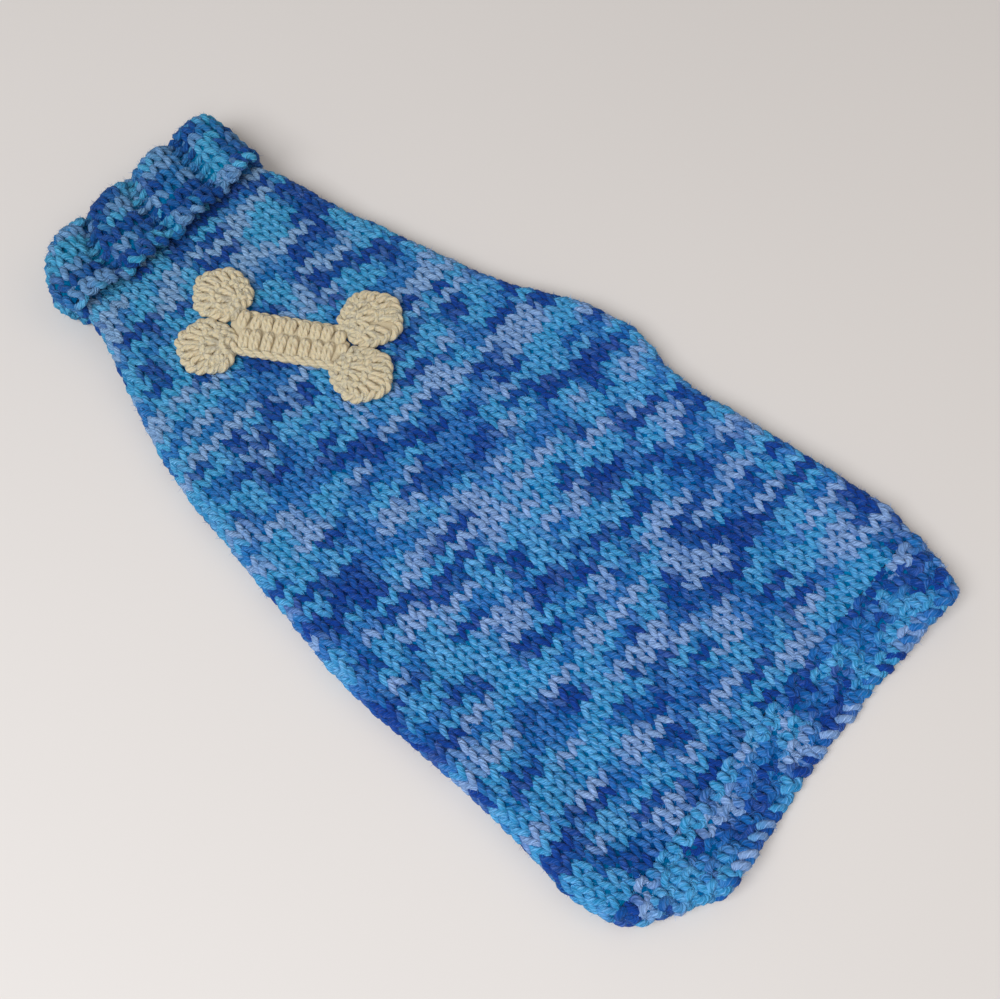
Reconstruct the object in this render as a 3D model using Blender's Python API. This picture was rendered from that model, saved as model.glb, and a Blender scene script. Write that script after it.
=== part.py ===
"""Hand-knitted dog sweater, laid flat with its back up.

+Y runs from the hem to the neck, +X across the back and +Z up from the surface that the sweater lies on.
The back is one knitted panel whose side edges are turned under to the seams. A shorter belly panel closes it
underneath from the neck to behind the forelegs, with a leg opening in each side seam. The neck is a ribbed
collar that is folded down over itself, the hem is a knitted band, and a crocheted bone lies on the back.
"""

import math

import bmesh
import bpy

MM = 0.001  # one millimetre; the sizes below are in millimetres

# Cloth
WALL = 3.2  # thickness of the knitted cloth
SEAM = 0.3  # gap between pieces that are sewn or laid together
FOLD = 4.4  # outer radius of the folded side edges, so the doubled cloth is 8.8 high
FLAP = 12.0  # width of the back's edge that is turned flat under each side fold

# Places along the sweater
NECK_SEAM = 135.7  # where the panels end and the collar is picked up
HEM_SEAM = -134.6  # where the back ends and the hem band begins
HEM_EDGE = -156.2  # cast-on edge of the hem band where its arch is highest
HEM_ARCH_MIDDLE = 5.0  # place of the arch's middle across the sweater
HEM_ARCH_REACH = 80.0  # distance from that middle at which the cast-on edge has dropped by HEM_ARCH
HEM_ARCH = 5.0
HEM_ARCH_START = -118.0  # where the rows begin to bend
BELLY_EDGE = -24.0  # rear edge of the belly panel

# Outline of the tube seen from above: the outermost points of its folded sides
OUTLINE_COLUMNS = ("y", "left", "right")
OUTLINE = (
    (-156.2, -51.0, 70.5),
    (-149.0, -61.0, 75.0),
    (-142.0, -72.4, 77.6),
    (-134.0, -79.9, 79.7),
    (-124.0, -81.8, 81.6),
    (-109.0, -80.7, 80.9),
    (-89.0, -78.8, 79.6),
    (-69.0, -78.4, 78.2),
    (-49.0, -78.5, 76.0),
    (-39.0, -78.5, 76.4),
    (-29.0, -78.0, 79.7),
    (-19.0, -76.8, 81.8),
    (-9.0, -75.0, 80.4),
    (1.0, -73.6, 78.4),
    (11.0, -72.0, 74.6),
    (21.0, -70.4, 69.6),
    (31.0, -68.6, 66.0),
    (51.0, -65.4, 61.3),
    (71.0, -60.4, 57.5),
    (91.0, -52.9, 52.6),
    (111.0, -44.8, 48.8),
    (121.0, -41.6, 46.8),
    (129.0, -39.6, 44.2),
    (134.0, -41.5, 44.6),
    (139.0, -42.3, 45.6),
    (145.0, -40.0, 46.6),
    (151.0, -35.4, 46.6),
    (156.0, -29.6, 44.9),
)

# How high the tube's underside lies, and how far its upper face sinks between the side folds
LEVEL_COLUMNS = ("y", "base", "sag")
LEVEL = (
    (-156.2, 0.0, 5.4),
    (-62.0, 0.0, 5.4),
    (-38.0, 0.0, 3.1),
    (-14.0, 0.0, 0.8),
    (76.0, 0.0, 0.7),
    (101.0, 1.9, 0.6),
    (126.0, 3.8, 0.5),
    (156.0, 3.8, 0.5),
)
SAG_WIDTH = 32.0  # how far in from a side fold the upper face has stopped sinking

# Rows of the panels' meshes: the place up to which each step holds, and the longest step up to there
ROW_STEPS = (
    (BELLY_EDGE, 8.5),
    (27.0, 8.5),
    (81.0, 5.4),
    (117.0, 7.2),
    (126.0, 4.5),
    (NECK_SEAM, 1.7),
)

# Leg openings: how far the belly panel's side stands back from the side seam
LEG_COLUMNS = ("y", "inset")
LEG = (
    (27.0, 0.0),
    (33.0, 7.0),
    (40.0, 12.0),
    (54.0, 14.0),
    (68.0, 12.0),
    (75.0, 7.0),
    (81.0, 0.0),
)

# Collar: the stand goes up inside from the neck seam, and the cuff comes down outside to its free edge
CUFF_GAP = 0.6  # space between the stand and the cuff
CUFF_EDGE = 129.0  # free edge of the cuff where it turns under at the sides
CUFF_FLARE = 1.4  # how far the free edge stands off the back
CUFF_FLARE_LENGTH = 10.0  # how far up the cuff that flare fades out
CUFF_BOW_COLUMNS = ("x", "drop")  # how much further the free edge reaches down over the back
CUFF_BOW = (
    (-42.0, 0.0),
    (-22.0, 3.2),
    (4.0, 4.4),
    (30.0, 3.8),
    (46.0, 1.6),
)
CUFF_BOW_LENGTH = 16.0  # how far up the cuff that reach fades out
COLLAR_FOLD = 155.5  # centre of the fold at the collar's top
COLLAR_LEAN = 1.5  # how much lower the fold lies at its left end
COLLAR_LEAN_START = 146.0  # where that lean begins
COLLAR_LEAN_REACH = 24.0  # and how far across from the middle
RIBS = 8  # ribs of three knit and two purl stitches round the collar
RIB_CREST = 12.5  # distance of one rib's crest from the middle of the collar's upper side
RIB_RELIEF = 1.0  # height of a rib over the cloth's mean face
SCALLOPS = 16  # waves of the cast-off edge
SCALLOP_DEPTH = 0.6
SCALLOP_LENGTH = 6.0  # how far up the cuff those waves fade out

# Lip of the cuff's free edge: distance in from the edge, share of the wall from its inner face, and the share
# of a rib's height that it takes
LIP = (
    (0.8, 0.0, 0.0),
    (0.0, 0.3, 0.0),
    (0.1, 0.7, 0.3),
    (1.0, 0.95, 0.6),
)
LIP_LENGTH = 3.0  # distance in from the edge at which the cuff has its whole thickness

# Mesh of the collar: points round it, and the longest steps along its faces
COLLAR_SIDES = 90
OUTER_STEP = 6.5
BETWEEN_STEP = 4.5
INNER_STEP = 10.0

# Bone: a shaft of two crocheted rows with two rounded knobs at each end
BONE_CENTRE = (0.5, 68.6)
BONE_TURN = math.radians(29.9)  # from straight down the back, turned to the right
BONE_THICK = 3.6
BONE_RIM = 1.7  # thickness at the bone's edge
SHAFT_HALF_WIDTH = 8.2
SHAFT_ACROSS = -2.3  # the shaft's middle line lies a little to the left of the knobs' middle
SHAFT_REACH = 21.5  # longest reach of the shaft between a pair of knobs
SHAFT_GAP = 0.4  # gap between the shaft's ends and the knobs

# Knobs: name, distances along and across the bone from its middle, and radius
KNOBS = (
    ("bone_knob_neck_left", -26.7, -10.5, 10.4),
    ("bone_knob_neck_right", -27.0, 10.4, 10.2),
    ("bone_knob_hem_left", 27.8, -11.0, 10.6),
    ("bone_knob_hem_right", 25.9, 11.1, 11.1),
)

BLUE_WOOL = (0.045, 0.085, 0.42, 1.0)
CREAM_COTTON = (0.64, 0.55, 0.36, 1.0)


def smooth(low, high, value):
    """0 below low, 1 above high, and an even S curve between them."""
    t = min(max((value - low) / (high - low), 0.0), 1.0)
    return t * t * (3.0 - 2.0 * t)


def read(table, columns, name, y):
    """The named column at y, on a smooth curve through the table's rows that never overshoots them."""
    column = columns.index(name)
    ys = [row[0] for row in table]
    values = [row[column] for row in table]
    if y <= ys[0]:
        return values[0]
    if y >= ys[-1]:
        return values[-1]
    i = max(k for k in range(len(ys) - 1) if ys[k] <= y)

    def rise(k):
        return (values[k + 1] - values[k]) / (ys[k + 1] - ys[k])

    def slope(k):
        if k in (0, len(ys) - 1):
            return rise(min(k, len(ys) - 2))
        before, after = rise(k - 1), rise(k)
        return 0.0 if before * after <= 0.0 else 2.0 * before * after / (before + after)

    step = ys[i + 1] - ys[i]
    t = (y - ys[i]) / step
    return (
        (1 + 2 * t) * (1 - t) ** 2 * values[i]
        + t * (1 - t) ** 2 * step * slope(i)
        + t * t * (3 - 2 * t) * values[i + 1]
        - t * t * (1 - t) * step * slope(i + 1)
    )


def sides(y):
    """Outermost points of the folded sides at y."""
    return read(OUTLINE, OUTLINE_COLUMNS, "left", y), read(OUTLINE, OUTLINE_COLUMNS, "right", y)


def base_height(y):
    """Height of the tube's underside at y."""
    return read(LEVEL, LEVEL_COLUMNS, "base", y)


def top_height(x, y):
    """Height of the tube's upper face at a place on the back."""
    left, right = sides(y)
    inset = min(x - left, right - x) - FOLD
    sag = read(LEVEL, LEVEL_COLUMNS, "sag", y)
    return base_height(y) + 2 * FOLD - sag * smooth(0.0, SAG_WIDTH, inset)


# A section point is (x, z, (outward x, outward z)) in the plane across the sweater.


def top_point(x, y):
    """The section point on the upper face at a place on the back."""
    step = 0.5
    slope = (top_height(x + step, y) - top_height(x - step, y)) / (2 * step)
    length = math.hypot(1.0, slope)
    return x, top_height(x, y), (-slope / length, 1.0 / length)


def fold_point(centre_x, centre_z, degrees):
    """The section point on a side fold, at an angle round the fold's centre."""
    outward = (math.cos(math.radians(degrees)), math.sin(math.radians(degrees)))
    return centre_x + FOLD * outward[0], centre_z + FOLD * outward[1], outward


def back_section(y, top_count=15, fold_count=7, flap_count=2):
    """The back's outer face at y, from the left flap's edge over the back to the right flap's edge."""
    left, right = sides(y)
    base = base_height(y)
    left_fold, right_fold = left + FOLD, right - FOLD
    down = (0.0, -1.0)
    flap = [FLAP * (1 - k / flap_count) for k in range(flap_count)]
    turn = [180 * k / fold_count for k in range(fold_count + 1)]
    across = [k / top_count for k in range(1, top_count)]
    return (
        [(left_fold + inset, base, down) for inset in flap]
        + [fold_point(left_fold, base + FOLD, -90 - angle) for angle in turn]
        + [top_point(left_fold + (right_fold - left_fold) * share, y) for share in across]
        + [fold_point(right_fold, base + FOLD, 90 - angle) for angle in turn]
        + [(right_fold - inset, base, down) for inset in reversed(flap)]
    )


def ring_section(y, count):
    """The whole tube's outer face at y, in even steps from the middle of its upper side towards the right."""
    left, right = sides(y)
    base = base_height(y)
    flat = right - left - 2 * FOLD
    bend = math.pi * FOLD
    girth = 2 * (flat + bend)
    points = []
    for k in range(count):
        run = (girth * k / count + flat / 2) % girth
        if run < flat:
            points.append(top_point(left + FOLD + run, y))
        elif run < flat + bend:
            points.append(fold_point(right - FOLD, base + FOLD, 90 - 180 * (run - flat) / bend))
        elif run < 2 * flat + bend:
            points.append((right - FOLD - (run - flat - bend), base, (0.0, -1.0)))
        else:
            points.append(fold_point(left + FOLD, base + FOLD, -90 - 180 * (run - 2 * flat - bend) / bend))
    return points


def arched(x, y):
    """The rows near the hem bend in an arch: y of a point there, from its place across the sweater."""
    drop = HEM_ARCH * ((x - HEM_ARCH_MIDDLE) / HEM_ARCH_REACH) ** 2
    return y - drop * (1.0 - smooth(HEM_EDGE, HEM_ARCH_START, y))


def steps(start, end, longest):
    """Even steps from start to end, none longer than given."""
    count = max(1, math.ceil(abs(end - start) / longest))
    return [start + (end - start) * k / count for k in range(count + 1)]


def material(name, color):
    """A matt material of one colour."""
    made = bpy.data.materials.new(name)
    made.use_nodes = True
    shader = made.node_tree.nodes["Principled BSDF"]
    shader.inputs["Base Color"].default_value = color
    shader.inputs["Roughness"].default_value = 0.9
    shader.inputs["Metallic"].default_value = 0.0
    return made


def build_solid(name, vertices, faces, color, collection):
    """One closed body with its faces turned outwards and its round parts shaded smooth."""
    mesh = bpy.data.meshes.new(name)
    mesh.from_pydata([(x * MM, y * MM, z * MM) for x, y, z in vertices], [], faces)
    turned = bmesh.new()
    turned.from_mesh(mesh)
    bmesh.ops.recalc_face_normals(turned, faces=turned.faces)
    turned.to_mesh(mesh)
    turned.free()
    mesh.materials.append(material(name, color))
    mesh.shade_smooth()
    mesh.set_sharp_from_angle(angle=math.radians(50))
    made = bpy.data.objects.new(name, mesh)
    collection.objects.link(made)


def build_wall(name, outer, inner, color, collection):
    """A closed wall between two matching grids of points, each a list of rows."""
    rows, columns = len(outer), len(outer[0])

    def at(side, row, column):
        return (side * rows + row) * columns + column

    faces = []
    for side in (0, 1):
        for i in range(rows - 1):
            for j in range(columns - 1):
                faces.append((at(side, i, j), at(side, i, j + 1), at(side, i + 1, j + 1), at(side, i + 1, j)))
    for i in (0, rows - 1):
        for j in range(columns - 1):
            faces.append((at(0, i, j), at(0, i, j + 1), at(1, i, j + 1), at(1, i, j)))
    for j in (0, columns - 1):
        for i in range(rows - 1):
            faces.append((at(0, i, j), at(0, i + 1, j), at(1, i + 1, j), at(1, i, j)))
    vertices = [point for grid in (outer, inner) for row in grid for point in row]
    build_solid(name, vertices, faces, color, collection)


def build_ring(name, rings, color, collection):
    """A closed body through rings of points, the last of which joins the first."""
    rows, columns = len(rings), len(rings[0])
    faces = []
    for i in range(rows):
        for j in range(columns):
            after_i, after_j = (i + 1) % rows, (j + 1) % columns
            corners = ((i, j), (i, after_j), (after_i, after_j), (after_i, j))
            faces.append(tuple(row * columns + column for row, column in corners))
    build_solid(name, [point for ring in rings for point in ring], faces, color, collection)


def panel_rows(start):
    """The rows that both panels' meshes share, from start to the neck seam, so that their seams match."""
    ys = [HEM_SEAM]
    for until, longest in ROW_STEPS:
        ys += steps(ys[-1], until, longest)[1:]
    return [y for y in ys if y >= start]


def cloth_grids(ys):
    """Outer and inner grids of the turned-under back at each y of a list that rises."""
    outer, inner = [], []
    for y in ys:
        section = back_section(y)
        outer.append([(x, arched(x, y), z) for x, z, _ in section])
        inner.append([(x - WALL * n[0], arched(x, y), z - WALL * n[1]) for x, z, n in section])
    return outer, inner


def build_back(collection):
    """The back panel with its turned-under side edges, from the hem band's seam to the neck seam."""
    outer, inner = cloth_grids(panel_rows(HEM_SEAM))
    build_wall("back_panel", outer, inner, BLUE_WOOL, collection)


def build_hem(collection, longest=5.0):
    """The hem band, from the cast-on edge to the back panel's seam."""
    outer, inner = cloth_grids(steps(HEM_EDGE, HEM_SEAM - SEAM, longest))
    build_wall("hem_band", outer, inner, BLUE_WOOL, collection)


def build_belly(collection, columns=8):
    """The belly panel between the back's flaps, from behind the forelegs to the neck seam."""
    outer, inner = [], []
    for y in panel_rows(BELLY_EDGE):
        left, right = sides(y)
        inset = FOLD + FLAP + SEAM + read(LEG, LEG_COLUMNS, "inset", y)
        width = right - left - 2 * inset
        xs = [left + inset + width * k / columns for k in range(columns + 1)]
        base = base_height(y)
        outer.append([(x, y, base + WALL) for x in xs])
        inner.append([(x, y, base) for x in xs])
    build_wall("belly_panel", outer, inner, BLUE_WOOL, collection)


def collar_profile():
    """The collar's wall cut along the sweater, from the cuff's free edge over the fold to the stand and back.

    Each point is (y, outward, lift y, lift outward): outward is measured from the stand's outer face, and the
    lift is the direction in which a rib raises the point, as long as its share of the rib's height.
    """
    inside = -WALL
    outside = CUFF_GAP + WALL
    centre = (inside + outside) / 2
    radius = (outside - inside) / 2
    start = NECK_SEAM + SEAM
    full = CUFF_EDGE + LIP_LENGTH
    fold = []
    for degrees in range(15, 180, 15):
        angle = math.radians(degrees)
        share = 1.0 - smooth(60, 150, degrees)
        y, outward = COLLAR_FOLD + radius * math.sin(angle), centre + radius * math.cos(angle)
        fold.append((y, outward, share * math.sin(angle), share * math.cos(angle)))
    return (
        [(CUFF_EDGE + inset, CUFF_GAP + WALL * share, 0.0, lift) for inset, share, lift in LIP]
        + [(y, outside, 0.0, 1.0) for y in steps(full, COLLAR_FOLD, OUTER_STEP)]
        + fold
        + [(y, inside, 0.0, 0.0) for y in steps(COLLAR_FOLD, start, INNER_STEP)]
        + [(y, 0.0, 0.0, 0.0) for y in steps(start, COLLAR_FOLD, BETWEEN_STEP)]
        + [(COLLAR_FOLD + CUFF_GAP / 2, CUFF_GAP / 2, 0.0, 0.0)]
        + [(y, CUFF_GAP, 0.0, 0.0) for y in steps(COLLAR_FOLD, full, BETWEEN_STEP)]
    )


def rib_height(run):
    """Height of the ribs at a distance round the collar, as a share of its girth from the upper middle."""
    return 0.5 * RIB_RELIEF * math.cos(2 * math.pi * RIBS * (run - rib_start()))


def rib_start():
    """Place of a rib's crest round the collar, as a share of its girth from the upper middle."""
    left, right = sides((CUFF_EDGE + COLLAR_FOLD) / 2)
    return RIB_CREST / (2 * (right - left - 2 * FOLD + math.pi * FOLD))


def near_edge(y, length):
    """1 at the cuff's free edge and 0 at the given length up the cuff."""
    return 1.0 - smooth(CUFF_EDGE, CUFF_EDGE + length, y)


def build_collar(collection):
    """The ribbed collar: a wall bent over at the top, its cuff flared a little on the upper side."""
    rings = []
    for y, outward, lift_y, lift_outward in collar_profile():
        on_cuff = 1.0 if outward >= CUFF_GAP else 0.0
        flare = CUFF_FLARE * near_edge(y, CUFF_FLARE_LENGTH) * on_cuff
        wave = SCALLOP_DEPTH * near_edge(y, SCALLOP_LENGTH) * on_cuff
        bow = near_edge(y, CUFF_BOW_LENGTH) * on_cuff
        lean = COLLAR_LEAN * smooth(COLLAR_LEAN_START, COLLAR_FOLD, y)
        ring = []
        for k, (x, z, normal) in enumerate(ring_section(min(y, OUTLINE[-1][0]), COLLAR_SIDES)):
            run = k / COLLAR_SIDES
            upper = smooth(-0.6, 0.4, normal[1])
            rib = rib_height(run) * upper
            out = outward + lift_outward * rib + flare * smooth(0.1, 0.9, normal[1])
            along = y + lift_y * rib + wave * math.cos(2 * math.pi * SCALLOPS * run)
            along -= bow * upper * read(CUFF_BOW, CUFF_BOW_COLUMNS, "drop", x)
            along -= lean * smooth(COLLAR_LEAN_REACH, OUTLINE[-1][1], x)
            ring.append((x + out * normal[0], along, z + out * normal[1]))
        rings.append(ring)
    build_ring("collar", rings, BLUE_WOOL, collection)


def bone_place(along, across):
    """A place on the back, from distances along and across the bone from its middle."""
    x = BONE_CENTRE[0] + along * math.sin(BONE_TURN) + across * math.cos(BONE_TURN)
    y = BONE_CENTRE[1] - along * math.cos(BONE_TURN) + across * math.sin(BONE_TURN)
    return x, y


def build_pad(name, places, edge_share, collection):
    """A domed pad on the back: a grid of places on it, and how near to the pad's edge each of them is."""
    top, bottom = [], []
    for row, shares in zip(places, edge_share):
        bottom.append([(x, y, top_height(x, y) + SEAM) for x, y in row])
        rise = [BONE_RIM + (BONE_THICK - SEAM - BONE_RIM) * math.sqrt(1.0 - share * share) for share in shares]
        top.append([(x, y, top_height(x, y) + SEAM + lift) for (x, y), lift in zip(row, rise)])
    build_wall(name, top, bottom, CREAM_COTTON, collection)


def build_knob(name, along, across, radius, collection, count=8):
    """A round knob, on a square grid that is drawn out to a disc."""
    places, shares = [], []
    for i in range(count + 1):
        row, row_shares = [], []
        for j in range(count + 1):
            u, v = 2 * i / count - 1, 2 * j / count - 1
            disc_u, disc_v = u * math.sqrt(1 - v * v / 2), v * math.sqrt(1 - u * u / 2)
            row.append(bone_place(along + radius * disc_u, across + radius * disc_v))
            row_shares.append(min(1.0, math.hypot(disc_u, disc_v)))
        places.append(row)
        shares.append(row_shares)
    build_pad(name, places, shares, collection)


def shaft_end(across, direction):
    """How far the shaft runs towards one end before it meets a knob there."""
    reach = SHAFT_REACH
    for _, knob_along, knob_across, radius in KNOBS:
        clear = radius + SHAFT_GAP
        if knob_along * direction > 0 and abs(across - knob_across) < clear:
            reach = min(reach, abs(knob_along) - math.sqrt(clear**2 - (across - knob_across) ** 2))
    return reach * direction


def build_shaft(collection, length_count=14, width_count=8):
    """The bone's shaft, its ends hollowed round the knobs."""
    places, shares = [], []
    for i in range(width_count + 1):
        side = 2 * i / width_count - 1
        across = SHAFT_ACROSS + SHAFT_HALF_WIDTH * side
        start, end = shaft_end(across, -1), shaft_end(across, 1)
        alongs = [start + (end - start) * j / length_count for j in range(length_count + 1)]
        places.append([bone_place(along, across) for along in alongs])
        shares.append([abs(side) ** 2 for _ in alongs])
    build_pad("bone_shaft", places, shares, collection)


def main():
    """Build every piece in its own collection of an empty file."""
    for old in list(bpy.data.objects):
        bpy.data.objects.remove(old, do_unlink=True)
    collection = bpy.data.collections.new("dog_sweater")
    bpy.context.scene.collection.children.link(collection)
    build_back(collection)
    build_belly(collection)
    build_hem(collection)
    build_collar(collection)
    build_shaft(collection)
    for name, along, across, radius in KNOBS:
        build_knob(name, along, across, radius, collection)


main()
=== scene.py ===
"""Hand-knitted dog sweater, laid flat with its back up: its yarn, its crocheted bone and its stage.

+Y runs from the hem to the neck, +X across the back and +Z up. The first functions say where the cloth lies,
in the sizes of the part's solids, so that each stitch lies on the solid that it stands for. The knit is made
one course at a time: a guide line is drawn on the cloth, and a node tree bends it into loops and gives it its
yarn.
"""

import math

import bmesh
import bpy
import numpy as np
from bpy.props import FloatProperty, FloatVectorProperty, IntProperty, PointerProperty
from mathutils import Matrix, Vector


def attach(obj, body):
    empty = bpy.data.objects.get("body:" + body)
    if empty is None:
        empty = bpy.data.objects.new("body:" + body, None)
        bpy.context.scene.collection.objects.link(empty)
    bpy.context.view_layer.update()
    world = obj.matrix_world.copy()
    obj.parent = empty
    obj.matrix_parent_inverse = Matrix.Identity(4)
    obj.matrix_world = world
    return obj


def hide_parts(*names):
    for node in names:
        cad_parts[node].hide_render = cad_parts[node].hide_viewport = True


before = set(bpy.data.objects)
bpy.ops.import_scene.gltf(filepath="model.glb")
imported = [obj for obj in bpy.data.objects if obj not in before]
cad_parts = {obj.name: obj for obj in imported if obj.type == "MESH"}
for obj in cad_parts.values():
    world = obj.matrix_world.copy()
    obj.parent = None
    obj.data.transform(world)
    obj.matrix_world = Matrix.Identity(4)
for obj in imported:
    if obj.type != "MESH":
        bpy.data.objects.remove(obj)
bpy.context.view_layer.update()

bl_info = {
    "name": "Knitted Dog Sweater",
    "version": (1, 0, 0),
    "blender": (4, 5, 0),
    "location": "3D View > Sidebar > Dog Sweater",
    "description": "Builds a hand-knitted dog sweater with a crocheted bone, laid flat on a pale table",
    "category": "Object",
}

MM = 0.001  # the sizes below are in millimetres

# --- The cloth's form, the same as in the solids ---------------------------------------------------------

WALL = 3.2  # how thick the cloth is
SEAM = 0.3  # between two pieces
FOLD = 4.4  # radius of the folded sides
FLAP = 12.0  # how far the back turns under beyond its folds
SPARE = 8.0  # how far the back's face is drawn beyond its edges
NECK_SEAM = 135.7
HEM_SEAM = -134.6
HEM_EDGE = -156.2
HEM_ARCH_MIDDLE = 5.0  # x where the hem lies nearest to the neck
HEM_ARCH_REACH = 80.0
HEM_ARCH = 5.0  # how much further back it lies, so far to either side
HEM_ARCH_START = -118.0  # the first row that bends with it
BELLY_EDGE = -24.0

OUTLINE = {  # outermost points of the folded sides
    "y": (-156.2, -149, -142, -134, -124, -109, -89, -69, -49, -39, -29, -19, -9, 1, 11, 21, 31, 51, 71, 91)
    + (111, 121, 129, 134, 139, 145, 151, 156),
    "left": (-51.0, -61.0, -72.4, -79.9, -81.8, -80.7, -78.8, -78.4, -78.5, -78.5, -78.0, -76.8, -75.0, -73.6)
    + (-72.0, -70.4, -68.6, -65.4, -60.4, -52.9, -44.8, -41.6, -39.6, -41.5, -42.3, -40.0, -35.4, -29.6),
    "right": (70.5, 75.0, 77.6, 79.7, 81.6, 80.9, 79.6, 78.2, 76.0, 76.4, 79.7, 81.8, 80.4, 78.4, 74.6, 69.6)
    + (66.0, 61.3, 57.5, 52.6, 48.8, 46.8, 44.2, 44.6, 45.6, 46.6, 46.6, 44.9),
}
LEVEL = {  # height of the underside, and how far the upper face sinks between the side folds
    "y": (-156.2, -62.0, -38.0, -14.0, 76.0, 101.0, 126.0, 156.0),
    "base": (0.0, 0.0, 0.0, 0.0, 0.0, 1.9, 3.8, 3.8),
    "sag": (5.4, 5.4, 3.1, 0.8, 0.7, 0.6, 0.5, 0.5),
}
SAG_WIDTH = 32.0
LEG = {"y": (27.0, 33.0, 40.0, 54.0, 68.0, 75.0, 81.0), "inset": (0.0, 7.0, 12.0, 14.0, 12.0, 7.0, 0.0)}

CUFF_GAP = 0.6  # between the collar's stand and its folded cuff
CUFF_EDGE = 129.0
CUFF_FLARE = 1.4  # how far the cuff's edge stands out
CUFF_FLARE_LENGTH = 10.0
CUFF_BOW = {"x": (-42.0, -22.0, 4.0, 30.0, 46.0), "drop": (0.0, 3.2, 4.4, 3.8, 1.6)}
CUFF_BOW_LENGTH = 16.0
CUFF_SCALLOP = 0.6  # how far the cuff's edge hangs lower at a rib's crest
CUFF_TUCK = (1.8, 2.0)  # how far the cuff is pulled in on the left and on the right
COLLAR_FOLD = 155.5
COLLAR_LEAN = 1.5  # how far the fold leans back at the left end
COLLAR_LEAN_START = 146.0
COLLAR_LEAN_REACH = 24.0  # it starts so far right of the middle
RIB_DEPTH = 2.2
RIB_CREST = 12.5  # from the upper middle to the first rib's crest
RIB_SPREAD = 0.14  # how far the knit stitches stand off a rib's crest, in stitches
RIB_FOLD_DIP = 0.45  # share of a rib's bulge that the fold takes back

BONE_CENTRE = (0.5, 68.6)
BONE_TURN = math.radians(29.9)
SHAFT_HALF_WIDTH = 8.2
SHAFT_ACROSS = -2.3
CROCHET_WIDTH = 4.3  # from one stitch of the shaft to the next
KNOBS = {  # along and across from the bone's centre, and radius
    "bone_knob_neck_left": (-26.7, -10.5, 10.4),
    "bone_knob_neck_right": (-27.0, 10.4, 10.2),
    "bone_knob_hem_left": (27.8, -11.0, 10.6),
    "bone_knob_hem_right": (25.9, 11.1, 11.1),
}
KNOB_SEED = 50
SHAFT_INSET, KNOB_INSET = 1.2, 1.6  # how far inside a pad's edge its ground stays
PAD_RIM = 0.8  # how high a pad of the bone is at its rim
KNOB_DOME = 1.9  # how much higher it is in the middle of a knob
SHAFT_DOME = 1.5  # and of the shaft

# --- The knitting -----------------------------------------------------------------------------------------

ROW_HEIGHT = 4.1  # 25 rows to 10 cm
STITCH = {"y": (-134.0, 0.0, 80.0, 135.0), "width": (5.75, 5.6, 5.4, 5.2)}  # 18 stitches to 10 cm
STITCH_POINTS = 12  # points of a guide line on each stitch
HEM_ROWS = 5
HEM_LOOPS = {"Loop Height": 0.58, "Loop Lean": 0.14}
HEM_WANDER = 1.7  # times as far as the back's stitches
COLLAR_STITCHES = 40
RIB_STITCHES = 5
KNIT_STITCHES = 3  # of each rib; the others are purl
COLLAR_ROWS = 12
COLLAR_LOOSE = 1.1  # thickness of the collar's looser yarn
COLLAR_LOOPS = {"Loop Height": 0.7, "Loop Lean": 0.24, "Loop Depth": 1.2 * MM}
COLLAR_WANDER = 1.4
TOP_DEPTH = 1.45  # how deep the yarn's middle lies in the cloth, where the face is free
UNDER_DEPTH = 2.0  # and where it rests on the table
PRESSED = 0.05  # no yarn lies lower than this
GROUND = 0.7  # thickness of the closed ground behind the loops
GROUND_INSET = 1.2  # how far inside the ends of the courses that ground stays

# --- The dye ----------------------------------------------------------------------------------------------

DYE_WIDE = 1.6  # stitches between the middles of neighbouring patches of dye
DYE_TALL = 1.9  # rows between them
DYE_SHARES = {"royal": 0.28, "turquoise": 0.4, "lavender": 0.1}  # the rest is the middle blue
DYE_MOTTLE = 0.3  # how unevenly a dye takes along the yarn
DYE_SEED = 4
STREAKS = 0.38  # share of each course that is dyed apart from its neighbours
EDGE_STREAKS = 0.6  # the same for the hem band and the collar
STREAK_ODDS = (0.26, 0.26, 0.36, 0.12)  # royal, turquoise, lavender, middle blue
BELLY_ROW, COLLAR_ROW = 200, 830  # number of their first course in the dye's field; the back's is 0
CAST_OFF_ROW, CAST_ON_ROW = 400, 500
COLLAR_DYE_AND_SHADE = {"times": (1.0, 1.0, 0.6), "more": (0.06, 0.05, 0.0)}  # its shares: less lavender and more turquoise, and extra royal as painted shade
# Painted shade: the wool is darkened and dulled by this tint between these two places up the back, towards
# the neck
NECK_SHADE_FROM, NECK_SHADE_TO = -30.0, 150.0
NECK_SHADE_TINT = (0.88, 0.95, 0.83, 1.0)


def smooth(low, high, value):
    """0 below low, 1 above high, and an even S curve between them; value may be an array."""
    t = np.clip((np.asarray(value, float) - low) / (high - low), 0.0, 1.0)
    return t * t * (3.0 - 2.0 * t)


def read(table, name, at):
    """The named column at a place in the first one, on a smooth curve that never overshoots the table."""
    keys, values = np.array(next(iter(table.values())), float), np.array(table[name], float)
    rise = np.diff(values) / np.diff(keys)
    slope = np.empty(len(keys))
    slope[0], slope[-1] = rise[0], rise[-1]
    before, after = rise[:-1], rise[1:]
    both = before * after > 0.0
    total = np.where(both, before + after, 1.0)
    slope[1:-1] = np.where(both, 2.0 * before * after / total, 0.0)
    at = np.clip(np.asarray(at, float), keys[0], keys[-1])
    i = np.clip(np.searchsorted(keys, at, side="right") - 1, 0, len(keys) - 2)
    step = keys[i + 1] - keys[i]
    t = (at - keys[i]) / step
    return (
        (1 + 2 * t) * (1 - t) ** 2 * values[i]
        + t * (1 - t) ** 2 * step * slope[i]
        + t * t * (3 - 2 * t) * values[i + 1]
        - t * t * (1 - t) * step * slope[i + 1]
    )


def way_along(points):
    """How far along their line each of the points lies."""
    return np.concatenate(([0.0], np.cumsum(np.linalg.norm(np.diff(points, axis=0), axis=1))))


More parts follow.
